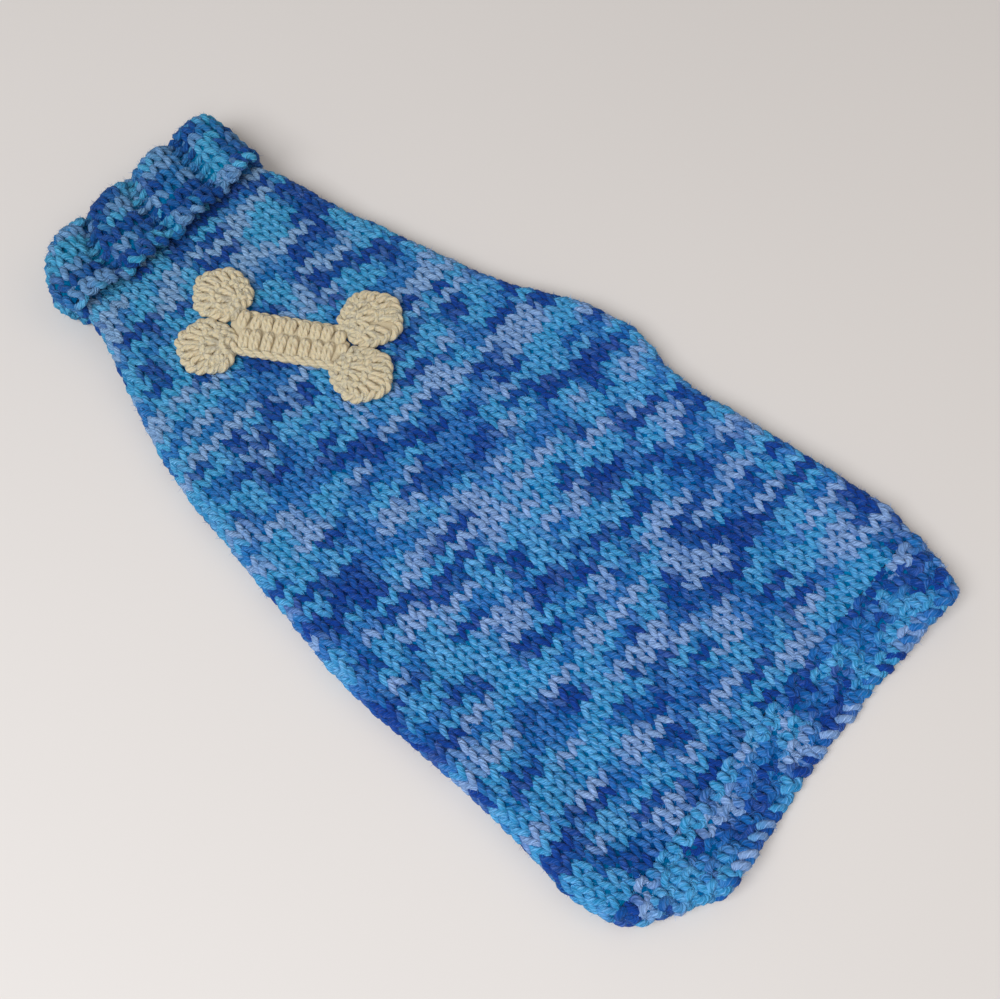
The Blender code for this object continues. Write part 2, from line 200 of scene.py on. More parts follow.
def sides_at(y):
    """x of the outermost points of both folded sides."""
    return float(read(OUTLINE, "left", y)), float(read(OUTLINE, "right", y))


def top_height(x, y):
    """Height of the sweater's upper face at a place on the back."""
    inset = np.minimum(x - read(OUTLINE, "left", y), read(OUTLINE, "right", y) - x) - FOLD
    sink = read(LEVEL, "sag", y) * smooth(0.0, SAG_WIDTH, inset)
    return read(LEVEL, "base", y) + 2 * FOLD - sink


def arched(x, y):
    """y of a point of the rows near the hem, which bend in an arch."""
    drop = HEM_ARCH * ((x - HEM_ARCH_MIDDLE) / HEM_ARCH_REACH) ** 2
    return y - drop * (1.0 - smooth(HEM_EDGE, HEM_ARCH_START, y))


def back_section(y):
    """The back's outer face at y as points (x, z), from beyond the left flap's edge over to the right one."""
    left, right = sides_at(y)
    base = float(read(LEVEL, "base", y))
    flap = np.linspace(FLAP + SPARE, 0.0, 9)[:-1]
    turn = np.radians(np.linspace(0.0, 180.0, 25))
    bulge, rise = FOLD * np.sin(turn), FOLD * np.cos(turn)
    top = np.linspace(left + FOLD, right - FOLD, 91)[1:-1]
    parts = (
        (left + FOLD + flap, base + 0.0 * flap),
        (left + FOLD - bulge, base + FOLD - rise),
        (top, top_height(top, y)),
        (right - FOLD + bulge, base + FOLD + rise),
        (right - FOLD - flap[::-1], base + 0.0 * flap),
    )
    return np.concatenate(parts, axis=1)


# A cloth is a grid of points on a face, with its sides "across" and "along" in millimetres.


def make_cloth(across, along, points, reach=None, turned=False):
    """A face's grid with its directions along the course, up the wale and outwards, and its bend.

    reach has the two ends of the knitting across, for each place along.
    """
    points = np.array(points)
    course = np.gradient(points, across, axis=1)
    step = np.linalg.norm(course, axis=2, keepdims=True)
    course /= step
    wale = np.gradient(points, along, axis=0)
    wale -= course * np.sum(wale * course, axis=2, keepdims=True)
    wale /= np.linalg.norm(wale, axis=2, keepdims=True)
    out = np.cross(course, wale) * (-1.0 if turned else 1.0)
    turn = np.gradient(wale, along, axis=0)
    return {
        "across": across,
        "along": along,
        "reach": np.array(reach),
        "place": points,
        "step": step,
        "course": course,
        "wale": wale,
        "out": out,
        "bend": -np.sum(turn * out, axis=2, keepdims=True),
    }


def on_cloth(cloth, name, across, along):
    """The named grid of a cloth at places given as arrays, mixed from the four points round each."""
    grid = cloth[name]
    j = (np.asarray(across, float) - cloth["across"][0]) / (cloth["across"][1] - cloth["across"][0])
    i = (np.asarray(along, float) - cloth["along"][0]) / (cloth["along"][1] - cloth["along"][0])
    j = np.clip(j, 0.0, grid.shape[1] - 1.001)
    i = np.clip(i, 0.0, grid.shape[0] - 1.001)
    j0, i0 = j.astype(int), i.astype(int)
    tj, ti = (j - j0)[..., None], (i - i0)[..., None]
    near = grid[i0, j0] * (1 - tj) + grid[i0, j0 + 1] * tj
    far = grid[i0 + 1, j0] * (1 - tj) + grid[i0 + 1, j0 + 1] * tj
    return near * (1 - ti) + far * ti


def back_cloth(start, end):
    """The folded back between two places; across is measured from the middle line over the cloth."""
    along = np.linspace(start, end, max(3, round((end - start) / 2.0) + 1))
    across = np.arange(-110.0, 110.5, 1.0)
    rows, reach = [], []
    for y in along:
        x, z = back_section(y)
        run = way_along(np.stack((x, z), axis=1))
        top = slice(int(np.argmin(x)), int(np.argmax(x)) + 1)
        run = run - np.interp(0.0, x[top], run[top])
        x, z = np.interp(across, run, x), np.interp(across, run, z)
        rows.append(np.stack((x, arched(x, y), z), axis=1))
        reach.append((run[0] + SPARE, run[-1] - SPARE))
    return make_cloth(across, along, rows, reach)


def belly_cloth():
    """The belly panel's underside between the back's flaps; across is x, mirrored so that it faces down."""
    along = np.linspace(BELLY_EDGE, NECK_SEAM, 81)
    across = np.arange(-80.0, 80.5, 1.0)
    rows, reach = [], []
    for y in along:
        base = float(read(LEVEL, "base", y))
        rows.append(np.stack((-across, np.full(len(across), y), np.full(len(across), base)), axis=1))
        inset = FOLD + FLAP + SEAM + float(read(LEG, "inset", y))
        left, right = sides_at(y)
        reach.append((inset - right, -left - inset))
    return make_cloth(across, along, rows, reach)


def ring_point(share, y, outward=0.0):
    """Points of the whole tube's outer face and their outward directions, at shares of the girth.

    The shares run from the upper middle. The girth is that of a layer so far outwards of the face, so that
    the layer's stitches are all as wide.
    """
    left, right = sides_at(y)
    base = float(read(LEVEL, "base", y))
    flat, bend = right - left - 2 * FOLD, math.pi * (FOLD + outward)
    run = (2 * (flat + bend) * share + flat / 2) % (2 * (flat + bend))
    top, turn_right, under = run < flat, run < flat + bend, run < 2 * flat + bend
    angle_right = np.pi / 2 - np.pi * (run - flat) / bend
    angle_left = -np.pi / 2 - np.pi * (run - 2 * flat - bend) / bend
    angle = np.where(turn_right, angle_right, angle_left)
    centre = np.where(turn_right, right - FOLD, left + FOLD)
    x_top, x_under = left + FOLD + run, right - FOLD - (run - flat - bend)
    slope = (top_height(x_top + 0.5, y) - top_height(x_top - 0.5, y)) / 1.0
    length = np.hypot(1.0, slope)
    flat_under = under & ~turn_right
    x = np.where(top, x_top, np.where(flat_under, x_under, centre + FOLD * np.cos(angle)))
    z = np.where(top, top_height(x_top, y), np.where(flat_under, base, base + FOLD + FOLD * np.sin(angle)))
    nx = np.where(top, -slope / length, np.where(flat_under, 0.0, np.cos(angle)))
    nz = np.where(top, 1.0 / length, np.where(flat_under, -1.0, np.sin(angle)))
    return x, z, nx, nz


def rib_start():
    """Place of a rib's crest round the collar, as a share of its girth from the upper middle."""
    left, right = sides_at((CUFF_EDGE + COLLAR_FOLD) / 2)
    return RIB_CREST / (2 * (right - left - 2 * FOLD + math.pi * (FOLD + CUFF_GAP + WALL / 2)))


def near_edge(y, length):
    """1 at the cuff's free edge and 0 at the given length up the cuff."""
    return 1.0 - float(smooth(CUFF_EDGE, CUFF_EDGE + length, y))


def collar_cloth():
    """The middle of the collar's wall, from the neck seam up the stand, over the fold and down the cuff.

    across is the stitch's number round the collar, along is the way up the wale in millimetres, and the face
    points away from the fold's middle: inwards on the stand and outwards on the cuff.
    """
    radius = (CUFF_GAP + WALL) / 2
    stand = COLLAR_FOLD - NECK_SEAM - SEAM
    cuff = COLLAR_FOLD - CUFF_EDGE
    length = stand + math.pi * radius + cuff
    along = np.linspace(0.0, length, 61)
    across = np.arange(-1.0, COLLAR_STITCHES + 1.01, 0.25)
    # A crest in the middle of each rib's knit stitches, which stand further apart there
    turn = 2 * np.pi * (across - KNIT_STITCHES / 2) / RIB_STITCHES
    share = (across - KNIT_STITCHES / 2 + RIB_SPREAD * np.sin(turn)) / COLLAR_STITCHES + rib_start()
    rows = []
    for run in along:
        if run < stand:
            y, outward = NECK_SEAM + SEAM + run, -WALL / 2
        elif run < stand + math.pi * radius:
            angle = (run - stand) / radius
            y, outward = COLLAR_FOLD + radius * math.sin(angle), CUFF_GAP / 2 - radius * math.cos(angle)
        else:
            y, outward = COLLAR_FOLD - (run - stand - math.pi * radius), CUFF_GAP + WALL / 2
        on_cuff = float(smooth(-WALL / 2, CUFF_GAP + WALL / 2, outward))
        x, z, nx, nz = ring_point(share % 1.0, min(y, OUTLINE["y"][-1]), max(0.0, outward))
        upper = smooth(-0.6, 0.4, nz)
        crest = np.cos(turn)
        puff = 1.4 - 2.0 * (0.5 - crest / 2) ** 1.6  # round bulges with narrow valleys between them
        rib = RIB_DEPTH * puff * (0.2 + 0.8 * smooth(-0.1, 0.7, nz))
        out = outward + CUFF_FLARE * near_edge(y, CUFF_FLARE_LENGTH) * on_cuff * smooth(0.1, 0.9, nz)
        out = out + rib * (1.3 * on_cuff - 0.3)
        place = y - near_edge(y, CUFF_BOW_LENGTH) * on_cuff * upper * read(CUFF_BOW, "drop", x)
        place = place - near_edge(y, CUFF_FLARE_LENGTH) * on_cuff * upper * CUFF_SCALLOP * crest
        place = place - RIB_FOLD_DIP * max(0.0, y - COLLAR_FOLD) / radius * rib
        lean = COLLAR_LEAN * float(smooth(COLLAR_LEAN_START, COLLAR_FOLD, y))
        place = place - lean * smooth(-COLLAR_LEAN_REACH, -OUTLINE["left"][-1], -x)
        for side, end, tuck in ((-1, "left", CUFF_TUCK[0]), (1, "right", CUFF_TUCK[1])):
            reach = abs(OUTLINE[end][-1])
            x = x - side * tuck * on_cuff * smooth(reach - 16.0, reach, side * x)
        rows.append(np.stack((x + out * nx, place, z + out * nz), axis=1))
    return make_cloth(across, along, rows, turned=True)


def linear(hex_colour):
    """An sRGB hex colour as the linear colour that the shaders take."""
    values = [int(hex_colour[i : i + 2], 16) / 255 for i in (1, 3, 5)]
    return tuple(v / 12.92 if v <= 0.04045 else ((v + 0.055) / 1.055) ** 2.4 for v in values) + (1.0,)


def add(tree, kind, inputs=None, **settings):
    """Add one node to a tree; inputs are values, sockets, or nodes, which give their first output."""
    node = tree.nodes.new(kind)
    for name, value in settings.items():
        setattr(node, name, value)
    for key, value in (inputs or {}).items():
        if isinstance(value, bpy.types.Node):
            value = value.outputs[0]
        if isinstance(value, bpy.types.NodeSocket):
            tree.links.new(value, node.inputs[key])
        else:
            node.inputs[key].default_value = value
    return node


# --- Sizes and colours a user may change -----------------------------------------------------------------


def length_prop(name, description, default):
    """A property that holds a length."""
    limits = {"unit": "LENGTH", "precision": 5, "min": 0.0}
    return FloatProperty(name=name, description=description, default=default, **limits)


def share_prop(name, description, default, top=1.5):
    """A property that holds a share of another size."""
    limits = {"subtype": "FACTOR", "min": 0.0, "max": top}
    return FloatProperty(name=name, description=description, default=default, **limits)


def colour_prop(name, description, hex_colour):
    """A property that holds a colour."""
    limits = {"size": 4, "subtype": "COLOR", "min": 0.0, "max": 1.0}
    return FloatVectorProperty(name=name, description=description, default=linear(hex_colour), **limits)


class SweaterKnit(bpy.types.PropertyGroup):
    """Sizes of the knitted yarn and its loops, and of the crochet cotton."""

    yarn_radius: length_prop("Yarn radius", "Half the thickness of the relaxed worsted yarn", 1.19 * MM)
    loop_height: share_prop("Loop height", "How far a loop reaches up and down, in rows", 0.72)
    loop_lean: share_prop("Loop lean", "How far a loop's legs lean apart, in stitches", 0.25)
    loop_depth: length_prop("Loop depth", "How far the legs stand before the loop's head and feet", 0.7 * MM)
    wander: length_prop("Wander", "How far hand knitting strays from an even gauge", 0.45 * MM)
    hem_loose: share_prop("Loose hem yarn", "Thickness of the yarn in the looser hem band", 1.28, 2.0)
    sides: IntProperty(name="Yarn sides", description="Sides of its section", default=6, min=3, max=12)
    seed: IntProperty(name="Seed", description="Start of the uneven knitting", default=7)
    fibres: FloatProperty(
        name="Loose fibres", description="Fibres on each square metre of yarn", default=4.4e5, min=0.0
    )
    fibre_length: length_prop("Fibre length", "How long the loose fibres are", 1.6 * MM)
    fibre_radius: length_prop("Fibre radius", "Half the thickness of a loose fibre at its root", 0.06 * MM)
    cotton_radius: length_prop("Cotton radius", "Half the thickness of the crochet cotton", 0.92 * MM)
    cotton_sides: IntProperty(name="Cotton sides", description="Sides of its section", default=8, min=3)


class SweaterDye(bpy.types.PropertyGroup):
    """Colours of the space-dyed wool, of the bone's cotton and of the table."""

    royal: colour_prop("Royal blue", "Darkest blue of the wool", "#133a89")
    blue: colour_prop("Blue", "Middle blue of the wool", "#376eaf")
    turquoise: colour_prop("Turquoise", "Greenest blue of the wool", "#5096c6")
    lavender: colour_prop("Lavender", "Palest blue of the wool", "#7f9bc6")
    cream: colour_prop("Cream", "Unbleached cotton of the bone", "#d0c0a0")
    table: colour_prop("Table", "Pale table", "#dad3ce")


# --- Node trees ------------------------------------------------------------------------------------------

NOISE_SPAN = {"From Min": 0.3, "From Max": 0.7}  # nearly all of a noise's values lie between these
# What every tree that makes yarn is given
YARN = {"Yarn Radius": "Float", "Sides": "Int", "Seed": "Int", "Material": "Material"}


def tree_named(name, make):
    """The node group of that name, made if there is none yet."""
    return bpy.data.node_groups.get(name) or make(name)


def new_group(name, output, inputs):
    """An empty node group with one geometry output, and the sockets of its inputs, given by name and kind."""
    tree = bpy.data.node_groups.new(name, "GeometryNodeTree")
    for title, kind in inputs.items():
        tree.interface.new_socket(title, in_out="INPUT", socket_type="NodeSocket" + kind)
    tree.interface.new_socket(output, in_out="OUTPUT", socket_type="NodeSocketGeometry")
    return tree, add(tree, "NodeGroupInput").outputs


def close_group(tree, made, finish):
    """End a node group with what it made, as real geometry in its material."""
    made = add(tree, "GeometryNodeRealizeInstances", {"Geometry": made})
    made = add(tree, "GeometryNodeSetMaterial", {"Geometry": made, "Material": finish})
    add(tree, "NodeGroupOutput", {0: made})


def yarn_tree(name):
    """A node group that gives guide lines their yarn: a round section, uneven in thickness, and its twist."""
    tree, given = new_group(name, "Yarn", {"Guides": "Geometry", **YARN})
    curve = add(tree, "GeometryNodeMeshToCurve", {"Mesh": given["Guides"]})
    # Thick and thin places every few stitches
    place = add(tree, "GeometryNodeInputPosition")
    uneven = {"Vector": place, "W": given["Seed"], "Scale": 180.0}
    uneven = add(tree, "ShaderNodeTexNoise", uneven, noise_dimensions="4D")
    thick = add(tree, "ShaderNodeMapRange", {"Value": uneven, **NOISE_SPAN, "To Min": 0.92, "To Max": 1.08})
    curve = add(tree, "GeometryNodeSetCurveRadius", {"Curve": curve, "Radius": thick})
    # The way along the yarn, in millimetres, for its twist
    run = add(tree, "GeometryNodeSplineParameter").outputs["Length"]
    run = add(tree, "ShaderNodeMath", {0: run, 1: 1.0 / MM}, operation="MULTIPLY")
    run = {"Geometry": curve, "Name": "twist_run", "Value": run}
    curve = add(tree, "GeometryNodeStoreNamedAttribute", run, data_type="FLOAT", domain="POINT")
    # The way round the yarn, as a direction, so that it has no seam
    ring = {"Resolution": given["Sides"], "Radius": given["Yarn Radius"]}
    ring = add(tree, "GeometryNodeCurvePrimitiveCircle", ring)
    round_at = add(tree, "GeometryNodeInputPosition")
    round_at = add(tree, "ShaderNodeVectorMath", {0: round_at}, operation="NORMALIZE")
    round_at = {"Geometry": ring, "Name": "twist_round", "Value": round_at}
    ring = add(tree, "GeometryNodeStoreNamedAttribute", round_at, data_type="FLOAT_VECTOR", domain="POINT")
    body = add(tree, "GeometryNodeCurveToMesh", {"Curve": curve, "Profile Curve": ring, "Fill Caps": True})
    close_group(tree, add(tree, "GeometryNodeSetShadeSmooth", {"Geometry": body}), given["Material"])
    return tree


def knit_tree(name):
    """A node group that bends guide lines, one for each course, into knitted loops, and gives them yarn.

    The guides' attributes are the stitch's number along the course, which side faces out (1 knit, -1 purl),
    the vectors course (one stitch long), wale (one row long) and out (one metre long), and bend, how far the
    cloth falls away one row up or down.
    """
    shape = ("Loop Height", "Loop Lean", "Loop Depth", "Wander")
    tree, given = new_group(name, "Yarn", {"Guides": "Geometry", **dict.fromkeys(shape, "Float"), **YARN})
    at = {title: given[title] for title in shape}
    for title in ("stitch", "side", "bend", "course", "wale", "out"):
        kind = "FLOAT_VECTOR" if title in ("course", "wale", "out") else "FLOAT"
        at[title] = add(tree, "GeometryNodeInputNamedAttribute", {"Name": title}, data_type=kind)
    # Each line is one step: what it gives, its operation and the two values it takes
    for title, operation, one, other in (
        ("turn", "MULTIPLY", "stitch", 2 * math.pi),
        ("double turn", "MULTIPLY", "stitch", 4 * math.pi),
        ("swing", "SINE", "double turn", 0.0),
        ("lean", "MULTIPLY", "swing", "Loop Lean"),
        ("fall", "COSINE", "turn", 0.0),
        ("drop", "MULTIPLY", "fall", "Loop Height"),
        ("rise", "MULTIPLY", "drop", -1.0),
        ("dip", "COSINE", "double turn", 0.0),
        ("faced dip", "MULTIPLY", "dip", "side"),
        ("depth", "MULTIPLY", "faced dip", "Loop Depth"),
        ("reach", "MULTIPLY", "rise", "rise"),
        ("hang", "MULTIPLY", "reach", "bend"),
        ("sum", "ADD", "depth", "hang"),
        ("inward", "MULTIPLY", "sum", -1.0),
        ("stray size", "MULTIPLY", "Wander", 4.0),
    ):
        values = {0: at.get(one, one), 1: at.get(other, other)}
        at[title] = add(tree, "ShaderNodeMath", values, operation=operation)
    # Each loop's own small differences, the same where two courses meet
    place = add(tree, "GeometryNodeInputPosition")
    noise = {"Vector": place, "W": given["Seed"], "Scale": 140.0, "Detail": 1.0}
    noise = add(tree, "ShaderNodeTexNoise", noise, noise_dimensions="4D").outputs["Color"]
    at["uneven"] = add(tree, "ShaderNodeVectorMath", {0: noise, 1: (0.5, 0.5, 0.5)}, operation="SUBTRACT")
    total = None
    for vector, factor in (("course", "lean"), ("wale", "rise"), ("out", "inward"), ("uneven", "stray size")):
        part = add(tree, "ShaderNodeVectorMath", {0: at[vector], "Scale": at[factor]}, operation="SCALE")
        total = part if total is None else add(tree, "ShaderNodeVectorMath", {0: total, 1: part})
    moved = add(tree, "GeometryNodeSetPosition", {"Geometry": given["Guides"], "Offset": total})
    body = add(tree, "GeometryNodeGroup", node_tree=tree_named("Yarn", yarn_tree))
    tree.links.new(moved.outputs[0], body.inputs["Guides"])
    for title in YARN:
        tree.links.new(given[title], body.inputs[title])
    add(tree, "NodeGroupOutput", {0: body})
    return tree


def fuzz_tree(name):
    """A node group that scatters short loose fibres over the upper side of finished yarn."""
    inputs = {"Yarn": "Geometry", **dict.fromkeys(("Fibres", "Fibre Length", "Fibre Radius"), "Float")}
    tree, given = new_group(name, "Fuzz", {**inputs, "Seed": "Int", "Material": "Material"})
    upwards = add(tree, "ShaderNodeSeparateXYZ", {0: add(tree, "GeometryNodeInputNormal")}).outputs[2]
    height = add(tree, "ShaderNodeSeparateXYZ", {0: add(tree, "GeometryNodeInputPosition")}).outputs[2]
    upper = add(tree, "FunctionNodeCompare", {0: upwards, 1: -0.1}, operation="GREATER_THAN")
    clear = add(tree, "FunctionNodeCompare", {0: height, 1: 2.0 * MM}, operation="GREATER_THAN")
    upper = add(tree, "FunctionNodeBooleanMath", {0: upper, 1: clear}, operation="AND")
    roots = {"Mesh": given["Yarn"], "Selection": upper, "Density": given["Fibres"], "Seed": given["Seed"]}
    roots = add(tree, "GeometryNodeDistributePointsOnFaces", roots)
    # Each fibre leans its own way and has its own length
    stray = {0: (-1.3, -1.3, -1.3), 1: (1.3, 1.3, 1.3), "Seed": given["Seed"]}
    stray = add(tree, "FunctionNodeRandomValue", stray, data_type="FLOAT_VECTOR")
    lean = add(tree, "ShaderNodeVectorMath", {0: roots.outputs["Normal"], 1: stray})
    turn = add(tree, "FunctionNodeAlignRotationToVector", {"Vector": lean}, axis="Z")
    size = add(tree, "FunctionNodeRandomValue", {2: 0.5, 3: 1.3, "Seed": given["Seed"]}).outputs[1]
    cone = {"Radius Bottom": given["Fibre Radius"], "Depth": given["Fibre Length"]}
    cone = add(tree, "GeometryNodeMeshCone", {"Vertices": 3, "Radius Top": 0.0, **cone})
    fuzz = {"Points": roots, "Instance": cone, "Rotation": turn, "Scale": size}
    close_group(tree, add(tree, "GeometryNodeInstanceOnPoints", fuzz), given["Material"])
    return tree


# --- Finishes --------------------------------------------------------------------------------------------


def material(make):
    """The material that the function makes, named after it, made if there is none yet."""
    name = make.__name__
    if name not in bpy.data.materials:
        made = bpy.data.materials.new(name)
        made.use_nodes = True
        made.node_tree.nodes.clear()
        make(made.node_tree, bpy.context.scene.sweater_dye)
    return bpy.data.materials[name]


def surface(tree, colour, inputs):
    """End a material with its shader, from its colour with a saturation and a value, and its other inputs."""
    inputs["Base Color"] = add(tree, "ShaderNodeHueSaturation", colour)
    add(tree, "ShaderNodeOutputMaterial", {"Surface": add(tree, "ShaderNodeBsdfPrincipled", inputs)})


def mottle(tree, scale, detail, dark, pale):
    """Noise of so many spots to a metre, and the tone that it gives, from dark to pale."""
    place = add(tree, "ShaderNodeTexCoord").outputs["Object"]
    noise = add(tree, "ShaderNodeTexNoise", {"Vector": place, "Scale": scale, "Detail": detail})
    tone = {"Value": noise, **NOISE_SPAN, "To Min": dark, "To Max": pale}
    return noise, add(tree, "ShaderNodeMapRange", tone)


def matted(tree, noise):
    """Bump of fibres that lie every way, deep between the strands."""
    return add(tree, "ShaderNodeBump", {"Height": noise, "Strength": 0.6, "Distance": 0.3 * MM})


def spun(tree, plies, twist, hair, relief):
    """Bump of a spun yarn: its plies wind round it and fine fibres lie over them. Lengths are in millimetres.

    Gives the bump and, for the painted shade to follow, the plies, from -1 to 1, and the fibres, from 0 to 1.
    """
    run = add(tree, "ShaderNodeAttribute", attribute_name="twist_run").outputs["Fac"]
    round_at = add(tree, "ShaderNodeAttribute", attribute_name="twist_round").outputs["Vector"]
    split = add(tree, "ShaderNodeSeparateXYZ", {0: round_at}).outputs
    angle = add(tree, "ShaderNodeMath", {0: split[1], 1: split[0]}, operation="ARCTAN2")
    wound = add(tree, "ShaderNodeMath", {0: run, 1: 2 * math.pi / twist, 2: angle}, operation="MULTIPLY_ADD")
    # The plies are uneven, so each strays from its place
    place = add(tree, "ShaderNodeTexCoord").outputs["Object"]
    stray = add(tree, "ShaderNodeTexNoise", {"Vector": place, "Scale": 450.0, "Detail": 1.0})
    stray = add(tree, "ShaderNodeMath", {0: stray, 1: 5.0}, operation="MULTIPLY")
    ply = add(tree, "ShaderNodeMath", {0: wound, 1: float(plies), 2: stray}, operation="MULTIPLY_ADD")
    ply = add(tree, "ShaderNodeMath", {0: ply}, operation="SINE")
    # Fibres follow the plies, so their noise changes fast across a ply and slowly along it
    across, other = (add(tree, "ShaderNodeMath", {0: wound}, operation=wave) for wave in ("SINE", "COSINE"))
    slow = add(tree, "ShaderNodeMath", {0: run, 1: hair}, operation="MULTIPLY")
    lie = add(tree, "ShaderNodeCombineXYZ", {0: across, 1: other, 2: slow})
    fibre = add(tree, "ShaderNodeTexNoise", {"Vector": lie, "Scale": 3.4, "Detail": 3.0})
    height = add(tree, "ShaderNodeMath", {0: fibre, 1: 2.0, 2: ply}, operation="MULTIPLY_ADD")
    bump = add(tree, "ShaderNodeBump", {"Height": height, "Strength": 1.0, "Distance": relief * MM})
    return bump, ply, fibre


def spun_shade(tree, ply, fibre, groove, hair):
    """Painted shade of a spun yarn: how light it is, from the painted shades at the bottom and the top of its
    plies and of its fibres.
    """
    low = {"Value": ply, "From Min": -1.0, "From Max": 0.3, "To Min": groove[0], "To Max": groove[1]}
    high = {"Value": fibre, **NOISE_SPAN, "To Min": hair[0], "To Max": hair[1]}
    shades = {k: add(tree, "ShaderNodeMapRange", shade) for k, shade in enumerate((low, high))}
    return add(tree, "ShaderNodeMath", shades, operation="MULTIPLY")


def dye_colour(tree, dye):
    """The wool's colour, mixed from the shares of dye that come with each piece, with painted shade towards
    the neck.
    """
    shares = add(tree, "ShaderNodeAttribute", attribute_name="dye").outputs["Vector"]
    shares = add(tree, "ShaderNodeSeparateXYZ", {0: shares}).outputs
    colour = tuple(dye.blue)
    for share, other in zip(shares, (dye.royal, dye.turquoise, dye.lavender)):
        mixed = {0: share, 6: colour, 7: tuple(other)}
        colour = add(tree, "ShaderNodeMix", mixed, data_type="RGBA").outputs[2]
    # Painted shade: the colours are darkened and dulled towards the neck and collar
    place = add(tree, "ShaderNodeTexCoord").outputs["Object"]
    up = add(tree, "ShaderNodeSeparateXYZ", {0: place}).outputs[1]
    neck_shade = {"Value": up, "From Min": NECK_SHADE_FROM * MM, "From Max": NECK_SHADE_TO * MM}
    neck_shade = add(tree, "ShaderNodeMapRange", neck_shade)
    mixed = {0: neck_shade, 6: colour, 7: NECK_SHADE_TINT}
    return add(tree, "ShaderNodeMix", mixed, data_type="RGBA", blend_type="MULTIPLY").outputs[2]


def space_dyed_wool(tree, dye):
    """Worsted wool yarn, plied and dyed in short lengths, whose shares of dye come with each piece.

    Its fibres scatter the light: no gloss, and a soft sheen at the edges of each strand. The grooves between
    its plies are darkened as painted shade, and the fibres that stand highest are paled as painted highlight.
    """
    bump, ply, fibre = spun(tree, plies=4, twist=6.0, hair=0.15, relief=0.14)
    # Painted shade in the grooves between the plies, and painted highlight on the raised fibres
    shade = spun_shade(tree, ply, fibre, (0.93, 1.07), (0.66, 1.42))
    # Dye takes unevenly along the yarn
    tone = mottle(tree, 260.0, 2.0, 0.88, 1.14)[1]
    shade = add(tree, "ShaderNodeMath", {0: shade, 1: tone}, operation="MULTIPLY")
    # Painted light: where the painted shade is lighter the colour is paler, and where it is darker the colour
    # is deeper
    depth = {"Value": shade, "From Min": 0.5, "From Max": 1.6, "To Min": 1.2, "To Max": 0.92}
    depth = add(tree, "ShaderNodeMapRange", depth)
    colour = {"Saturation": depth, "Value": shade, "Color": dye_colour(tree, dye)}
    sheen = {"Sheen Weight": 0.1, "Sheen Roughness": 0.5, "Sheen Tint": linear("#a8c8f2")}
    surface(tree, colour, {"Normal": bump, "Roughness": 0.9, "Specular IOR Level": 0.2, **sheen})


def wool_fibre(tree, dye):
    """Loose fibres of the same wool: thin enough to let light through, so paler than the yarn."""
    tone = mottle(tree, 400.0, 1.0, 0.9, 1.35)[1]
    colour = {"Saturation": 1.1, "Value": tone, "Color": dye_colour(tree, dye)}
    surface(tree, colour, {"Roughness": 0.8, "Specular IOR Level": 0.2, "Sheen Weight": 0.3})


def shaded_knit_ground(tree, dye):
    """The same wool deep between the loops, matted; its colour is darkened and deepened there as painted
    shade.
    """
    # Painted shade: the dye is darkened to between 0.4 and 0.75 of itself, in random spots, and made deeper
    # in colour
    fibre, shade = mottle(tree, 1500.0, 2.0, 0.4, 0.75)
    colour = {"Saturation": 1.4, "Value": shade, "Color": dye_colour(tree, dye)}
    surface(tree, colour, {"Normal": matted(tree, fibre), "Roughness": 1.0, "Specular IOR Level": 0.0})


def crochet_cotton(tree, dye):
    """Unbleached cotton: fine plies that show as lines along each strand, their grooves darkened as painted
    shade, matt with a slight lustre.
    """
    bump, ply, fibre = spun(tree, plies=3, twist=8.0, hair=0.15, relief=0.15)
    # Painted shade in the grooves between the plies, and a little painted highlight on the raised fibres
    shade = spun_shade(tree, ply, fibre, (0.92, 1.02), (0.92, 1.06))
    glow = {"Subsurface Weight": 0.4, "Subsurface Radius": (1.0, 0.8, 0.5), "Subsurface Scale": 1.5 * MM}
    matt = {"Roughness": 0.8, "Specular IOR Level": 0.3, "Sheen Weight": 0.15}
    surface(tree, {"Value": shade, "Color": tuple(dye.cream)}, {"Normal": bump, **matt, **glow})


def shaded_cotton_ground(tree, dye):
    """The same cotton deep between the strands, darkened there as painted shade."""
    # Painted shade: the cream is darkened to between 0.775 and 0.875 of itself, in random spots
    fibre, shade = mottle(tree, 2500.0, 2.0, 0.775, 0.875)
    colour = {"Value": shade, "Color": tuple(dye.cream)}
    surface(tree, colour, {"Normal": matted(tree, fibre), "Roughness": 1.0})


def matt_table(tree, dye):
    """A smooth matt board, slightly mottled."""
    tone = mottle(tree, 3.0, 2.0, 0.978, 1.002)[1]
    surface(tree, {"Value": tone, "Color": tuple(dye.table)}, {"Roughness": 0.6})


# --- Making pieces ---------------------------------------------------------------------------------------

KEPT = ("dye", "twist_run", "twist_round", "sharp_face", "material_index")


def link(mesh, slot, *nodes):
    """A finished piece at the origin, named as its mesh, on the sweater's one body, for the given solids."""
    made = bpy.data.objects.new(mesh.name, mesh)
    bpy.context.scene.collection.objects.link(made)
    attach(made, "root")
    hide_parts(*nodes)
    return made


def guide_mesh(lines):
    """One mesh of guide lines, which are dictionaries of arrays with a row for each point, in millimetres."""
    mesh = bpy.data.meshes.new("guides")
    joined = {name: np.concatenate([line[name] for line in lines]) for name in lines[0]}
    ends = np.cumsum([len(line["place"]) for line in lines])
    steps = np.arange(ends[-1] - 1)
    steps = steps[~np.isin(steps + 1, ends)]
    edges = np.stack((steps, steps + 1), axis=1)
    mesh.vertices.add(ends[-1])
    mesh.vertices.foreach_set("co", (joined.pop("place") * MM).ravel().astype(np.float32))
    mesh.edges.add(len(edges))
    mesh.edges.foreach_set("vertices", edges.ravel().astype(np.int32))
    for name, values in joined.items():
        vector = values.ndim == 2
        stored = mesh.attributes.new(name, "FLOAT_VECTOR" if vector else "FLOAT", "POINT")
        stored.data.foreach_set("vector" if vector else "value", values.ravel().astype(np.float32))
    return mesh


